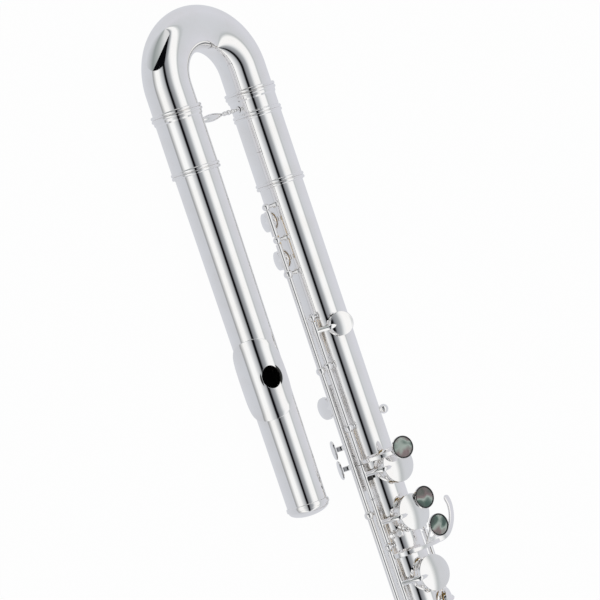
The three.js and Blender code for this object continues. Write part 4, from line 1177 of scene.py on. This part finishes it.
for along, across in [(0.45, 0.95), (0, 0.55)]:
    start = Vector((g_arm_x, 0.03 * tube_radius, 1.34 * tube_radius))
    end = Vector((g_touch_at[0] + along * touch_radius, across * g_touch_at[1], g_touch_at[2] + 0.6))
    leg_path = smooth_path([start, (start + end) / 2, end], leg_steps)
    sizes = [[size] * (leg_steps + 1) for size in (leg_wide, leg_thick)]
    plated(opened(forged("g_leg", leg_path, *sizes, plain, across=(1, 0.6, 0))), "g", "g_key")


# The small fittings between the left hand's keys: the A key's short lever with its two turned balls,
# and the B flat key's bumper, a block of black cork glued to its tube.
foot_x = 258.2
foot_path = [(64, 1.4), (52, 1.34), (40, 1.3)]
ball_share = 0.85  # how far round the balls go before their flat tops
pieces = [lever("a_foot", foot_x, foot_path, [(-2, 0.06), (0, 0.06)], steps=12)]
for angle, reach, radius in [(56, 21.2, 2.5), (40, 20.6, 2.9)]:
    outline = arc(0, 0, -radius, radius, 0, pi * ball_share, 17)
    outline.append((outline[-1][0], 0))
    pieces.append(moved(spun("a_foot_ball", outline, "Z", 40), outward(angle, foot_x, reach)))
for piece in pieces:
    plated(opened(piece), "a", "a_key")
bumper_x = 214.6
bumper_angle = 60
bumper_reach = 22.6
bumper_size = (4.4, 3.4, 3)
alone()
bpy.ops.mesh.primitive_cube_add(size=1, scale=bumper_size)
bumper = bevelled(applied("b_flat_bumper"), 0.3)
moved(bumper, outward(bumper_angle, bumper_x, bumper_reach))
dressed(opened(bumper), horn, "cork", "b_flat", "b_flat_key")

# Trill keys: two small cups on the player's side of the body. The first one's steel runs through
# the whole of the second one's tube, and both end in long touches between the right hand's keys.
trill_path = [(80, 1.66), (74, 1.8), (64, 1.85), (50, 1.86), (30, 1.84), (16, 1.82), (5, 1.8)]
trill_plan = [(-2.2, 0.115), (-1.3, 0.115), (-0.9, 0.24), (-0.35, 0.24), (-0.15, 0.15)]
barrel_radius = 2.3
trill_bars = {
    "trill_one": [
        (16.8, 35, barrel_radius),
        (456.4, 468.9, barrel_radius),
        (11.1, 474.6, steel_radius),
    ],
    "trill_two": [(41, 412.1, hinge_radius)],
}
trill_touches = {"trill_one": 460, "trill_two": 408.5}
for name, bars in trill_bars.items():
    pieces = [rod(x_from, x_to, trill_line, radius) for x_from, x_to, radius in bars]
    pieces += [cup(holes[name]), arm(holes[name], trill_line)]
    pieces.append(lever(name + "_lever", trill_touches[name], trill_path, trill_plan))
    key_done(name, name + "_key", pieces, [holes[name]], trill_line, 0)

# Thumb keys: the B key's cup under the tube with an oval touch beside it, and the B flat lever,
# whose touch lies next to that. Both touches are slightly hollowed for the thumb.
thumb_open = -14
thumb_split = 197.2
thumb_path = [(83, 1.28), (94, 1.2), (104, 1.28), (111, 1.5)]
thumb_plan = [(-2, lever_wide / 2 / tube_radius), (0, lever_wide / 2 / tube_radius)]
thumb_long = 14
thumb_wide = 9
thumb_angle = 116
thumb_reach = 22.6
thumb_turn = 18


def thumb_touch(x):
    """The neck of a thumb key and the oval plate at its end."""
    neck = lever("thumb_neck", x, thumb_path, thumb_plan, steps=16)
    profile = [(0, 0), (0, 0.86), (0.2, 0.96), (0.6, 1), (1.2, 0.98), (1.6, 0.9), (1.7, 0.78)]
    profile += [(1.35, 0.4), (1.25, 0)]
    plate = spun("thumb_plate", profile, "Z", 64)
    moved(plate, Matrix.Diagonal((thumb_long / 2, thumb_wide / 2, 1, 1)))
    hollow_side = Matrix.Rotation(radians(thumb_turn), 4, "X")
    return [neck, moved(plate, outward(thumb_angle, x, thumb_reach) @ hollow_side)]


thumb_beside = thumb_long / 2 + gap
for body, node, x_from, x_to, side in [
    ("thumb_b", "thumb_b_key", thumb_posts[0] + past_post, thumb_split - half_gap, -1),
    ("thumb_b_flat", "thumb_b_flat_lever", thumb_split + half_gap, thumb_posts[1] - past_post, 1),
]:
    touch_x = thumb_split + side * thumb_beside
    pieces = [hinge_tube(x_from, x_to, thumb_line), *thumb_touch(touch_x)]
    if body == "thumb_b":
        pieces += [cup(holes["thumb"]), arm(holes["thumb"], thumb_line)]
    key_done(body, node, pieces, [], thumb_line, thumb_open)
key_done("thumb_b", "thumb_b_key", [], [holes["thumb"]], thumb_line, thumb_open)

# The G sharp key: a forged crescent for the little finger, which lifts the cup on the other side
# of its hinge. A spring holds it closed.
crescent_start = side_posts[0] + past_post + 1.5 * lever_wide
crescent_plan = [(0.1, 1.36), (0.26, 1.9), (0.1, 2.45), (-0.4, 2.83), (-1.0, 2.97), (-1.47, 2.9)]
crescent_low = 4.57
crescent_rise = 0.25
crescent_steps = 44
crescent_round = 0.92  # where its rounded end begins
crescent_path = []
for along, across in crescent_plan:
    y = across * tube_radius
    height = crescent_low + crescent_rise * (y - crescent_plan[0][1] * tube_radius) - lever_thick / 2
    crescent_path.append((crescent_start + along * tube_radius, y, height))
crescent_path = smooth_path(crescent_path, crescent_steps)
crescent_widths = []
for i in range(crescent_steps + 1):
    share = i / crescent_steps
    end_share = max(0, (share - crescent_round) / (1 - crescent_round))
    rounded = max(0.05, sqrt(1 - end_share**2))
    crescent_widths.append(between(lever_wide, 2 * lever_wide, share) * rounded)
crescent = forged(
    "crescent",
    crescent_path,
    crescent_widths,
    [lever_thick] * (crescent_steps + 1),
    plain,
    up=(0, 0.3, 1),
    soften=0.2,
)
spot = holes["g_sharp"]
side_tube = hinge_tube(side_posts[0] + past_post, side_posts[1] - past_post, side_line)
pieces = [crescent, side_tube, cup(spot), arm(spot, side_line)]
key_done("g_sharp", "g_sharp_key", pieces, [spot], side_line, 0)

# The foot joint: a short tube with beads at its mouth, which turns on the body's lower end,
# three large tone holes and a thick band at the open end.
foot_top = 566
foot_socket_end = 588.3
foot_end = 815
end_band = 5
end_band_radius = tube_radius + 1.2
foot_edges = edges_of(foot_holes.values())
foot_tube = spun(
    "foot_tube",
    [
        (foot_top, sleeve_inner),
        *ring(foot_top, sleeve_radius),
        (foot_socket_end, sleeve_radius), (foot_socket_end + 1.2, tube_radius),
        *[(x, tube_radius) for x in foot_edges],
        (foot_end - end_band, tube_radius), (foot_end - end_band, end_band_radius - 0.5),
        (foot_end - end_band + 0.5, end_band_radius), (foot_end - 0.8, end_band_radius),
        (foot_end, end_band_radius - 0.8), (foot_end, tube_bore),
        *[(x, tube_bore) for x in reversed(foot_edges)],
        (foot_socket_end, tube_bore), (foot_socket_end, sleeve_inner), (foot_top, sleeve_inner),
    ],
)
drilled(foot_tube, foot_holes.values())
plated(foot_tube, "foot", "foot_tube")
for hole in foot_holes.values():
    plated(rim(hole), "foot", "foot_tube")
for x in foot_posts:
    post(x, foot_line, end_ball, rib_foot, "foot", "foot_rib")
rib("foot_rib", foot_posts[0] - rib_past, foot_posts[-1] + rib_past, foot_line, "foot", "foot_rib")
for x in d_sharp_posts:
    post(x, d_sharp_line, end_ball, body_foot, "foot", "foot_tube")
steel_ends = (d_sharp_posts[0] - steel_past, d_sharp_posts[1] + steel_past)
d_sharp_steel = rod(*steel_ends, d_sharp_line, steel_radius)
dressed(d_sharp_steel, steel, "steel", "foot", "d_sharp_steel")
for x, side, line in [
    (foot_posts[0] - screw_past, -1, foot_line),
    (foot_posts[-1] + screw_past, 1, foot_line),
    (d_sharp_posts[0] - screw_past, -1, d_sharp_line),
    (d_sharp_posts[1] + screw_past, 1, d_sharp_line),
]:
    screw(x, side, line, "foot", "foot_tube")
for x, along, line in [
    (foot_posts[1], -22, foot_line),
    (foot_posts[1], 22, foot_line),
    (d_sharp_posts[1], -20, d_sharp_line),
]:
    needle(x, along, line, "foot", "foot_tube")

# The foot's keys: the D sharp key with its spatula, and the C sharp and low C keys, whose levers
# each carry a silver roller on a pin between two ears.
spatula_at = 599.55
spatula_path = [(46, 1.43), (32, 1.72), (12, 1.82), (-12, 1.82), (-32, 1.78)]
spatula_plan = [(-1.3, 0.12), (-0.6, 0.12), (-0.2, 0.22), (0.2, 0.3), (0.75, 0.3), (0.95, 0.18)]
spot = foot_holes["d_sharp"]
pieces = [
    hinge_tube(d_sharp_posts[0] + past_post, d_sharp_posts[1] - past_post, d_sharp_line),
    cup(spot),
    arm(spot, d_sharp_line),
    lever("d_sharp_spatula", spatula_at, spatula_path, spatula_plan),
]
key_done("d_sharp", "d_sharp_key", pieces, [spot], d_sharp_line, 0)

roller_radius = 2.2
roller_long = 13
roller_pin = 0.8
ear_wide = 1.2
ear_reach = roller_long / 2 + gap
low_c_bar = foot_posts[0] + past_post
rollers_at = low_c_bar + lever_wide + gap + ear_reach + 2 * ear_wide


def roller_lever(name, x, path_shares, angle, reach):
    """A lever that ends in a cross bar with two ears, and the pin between them."""
    axis = polar(angle, reach)
    stop = axis.y - roller_radius - 2 * gap
    whole = smooth_path([polar(turn, share * tube_radius, x) for turn, share in path_shares], 48)
    path = [point for point in whole if point.y <= stop - lever_thick / 2]
    lowered = [point - polar_up(point) * lever_thick / 2 for point in path]
    bar = forged(name, lowered, [lever_wide] * len(path), [lever_thick] * len(path), plain)
    first_ear = rollers_at - ear_reach - ear_wide
    low, high = min(x - lever_wide / 2, first_ear), rollers_at + ear_reach + ear_wide
    cross_y = stop - lever_thick / 2
    cross_z = lowered[-1].z
    cross_path = [Vector((low, cross_y, cross_z)), Vector((high, cross_y, cross_z))]
    thick = [lever_thick] * 2
    cross = forged(name + "_cross", cross_path, thick, thick, plain, across=(0, -1, 0))
    pieces = [bar, cross]
    for side in (-1, 1):
        ear_x = rollers_at + side * (ear_reach + ear_wide / 2)
        ear_path = [
            Vector((ear_x, cross_y, min(cross_z, axis.z - lever_thick))),
            Vector((ear_x, axis.y - 1, axis.z - lever_thick / 2)),
            Vector((ear_x, axis.y + 1.6, axis.z - 0.6)),
        ]
        heights = [lever_thick * 2, lever_thick * 1.2, 1.2]
        pieces.append(forged(name + "_ear", ear_path, [ear_wide] * 3, heights, plain))
    pin_path = [(first_ear, 0), (first_ear, roller_pin), (high, roller_pin), (high, 0)]
    pieces.append(moved(spun(name + "_pin", pin_path, "X", 24), Matrix.Translation(axis)))
    return pieces


def roller(name, angle, reach):
    """A roller with rounded ends and a hole for its pin."""
    start, stop = rollers_at - roller_long / 2, rollers_at + roller_long / 2
    hole = roller_pin + gap
    outline = [(start, hole), (start, roller_radius - 0.5), (start + 0.15, roller_radius - 0.15)]
    outline += [(start + 0.5, roller_radius), (stop - 0.5, roller_radius)]
    outline += [(stop - 0.15, roller_radius - 0.15), (stop, roller_radius - 0.5)]
    outline += [(stop, hole), (start, hole)]
    return moved(spun(name, outline, "X", 48), Matrix.Translation(polar(angle, reach)))


for body, lever_x, bars, path_shares, angle, reach in [
    (
        "c_sharp",
        rollers_at,
        [(low_c_bar + 1.5 * lever_wide + gap, foot_posts[1] - past_post, hinge_radius)],
        [(20, 1.49), (6, 1.74), (-10, 1.75), (-20, 1.74), (-30, 1.73)],
        -28,
        1.73 * tube_radius,
    ),
    (
        "low_c",
        low_c_bar + lever_wide / 2,
        [
            (low_c_bar, low_c_bar + 1.5 * lever_wide, barrel_radius),
            (foot_posts[0] - end_ball, foot_posts[-1] + end_ball, steel_radius),
            (foot_posts[1] + past_post, foot_posts[-1] - past_post, barrel_radius),
        ],
        [(20, 1.49), (4, 1.74), (-18, 1.78), (-36, 1.82), (-47, 1.84)],
        -48,
        1.84 * tube_radius,
    ),
]:
    pieces = [rod(x_from, x_to, foot_line, radius) for x_from, x_to, radius in bars]
    pieces += [cup(foot_holes[body]), arm(foot_holes[body], foot_line)]
    pieces += roller_lever(body + "_lever", lever_x, path_shares, angle, reach)
    key_done(body, body + "_key", pieces, [foot_holes[body]], foot_line)
    turning = opened(roller(body + "_roller", angle, reach), foot_line)
    plated(turning, body + "_roller", body + "_roller")

# The turned shapes' patterns go, and the boxes of the solids and of the finished flute are measured.
for pattern in turned.values():
    bpy.data.meshes.remove(pattern)
visual_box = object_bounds()
sizes = {"cad": [list(corner) for corner in cad_box], "visual": [list(corner) for corner in visual_box]}
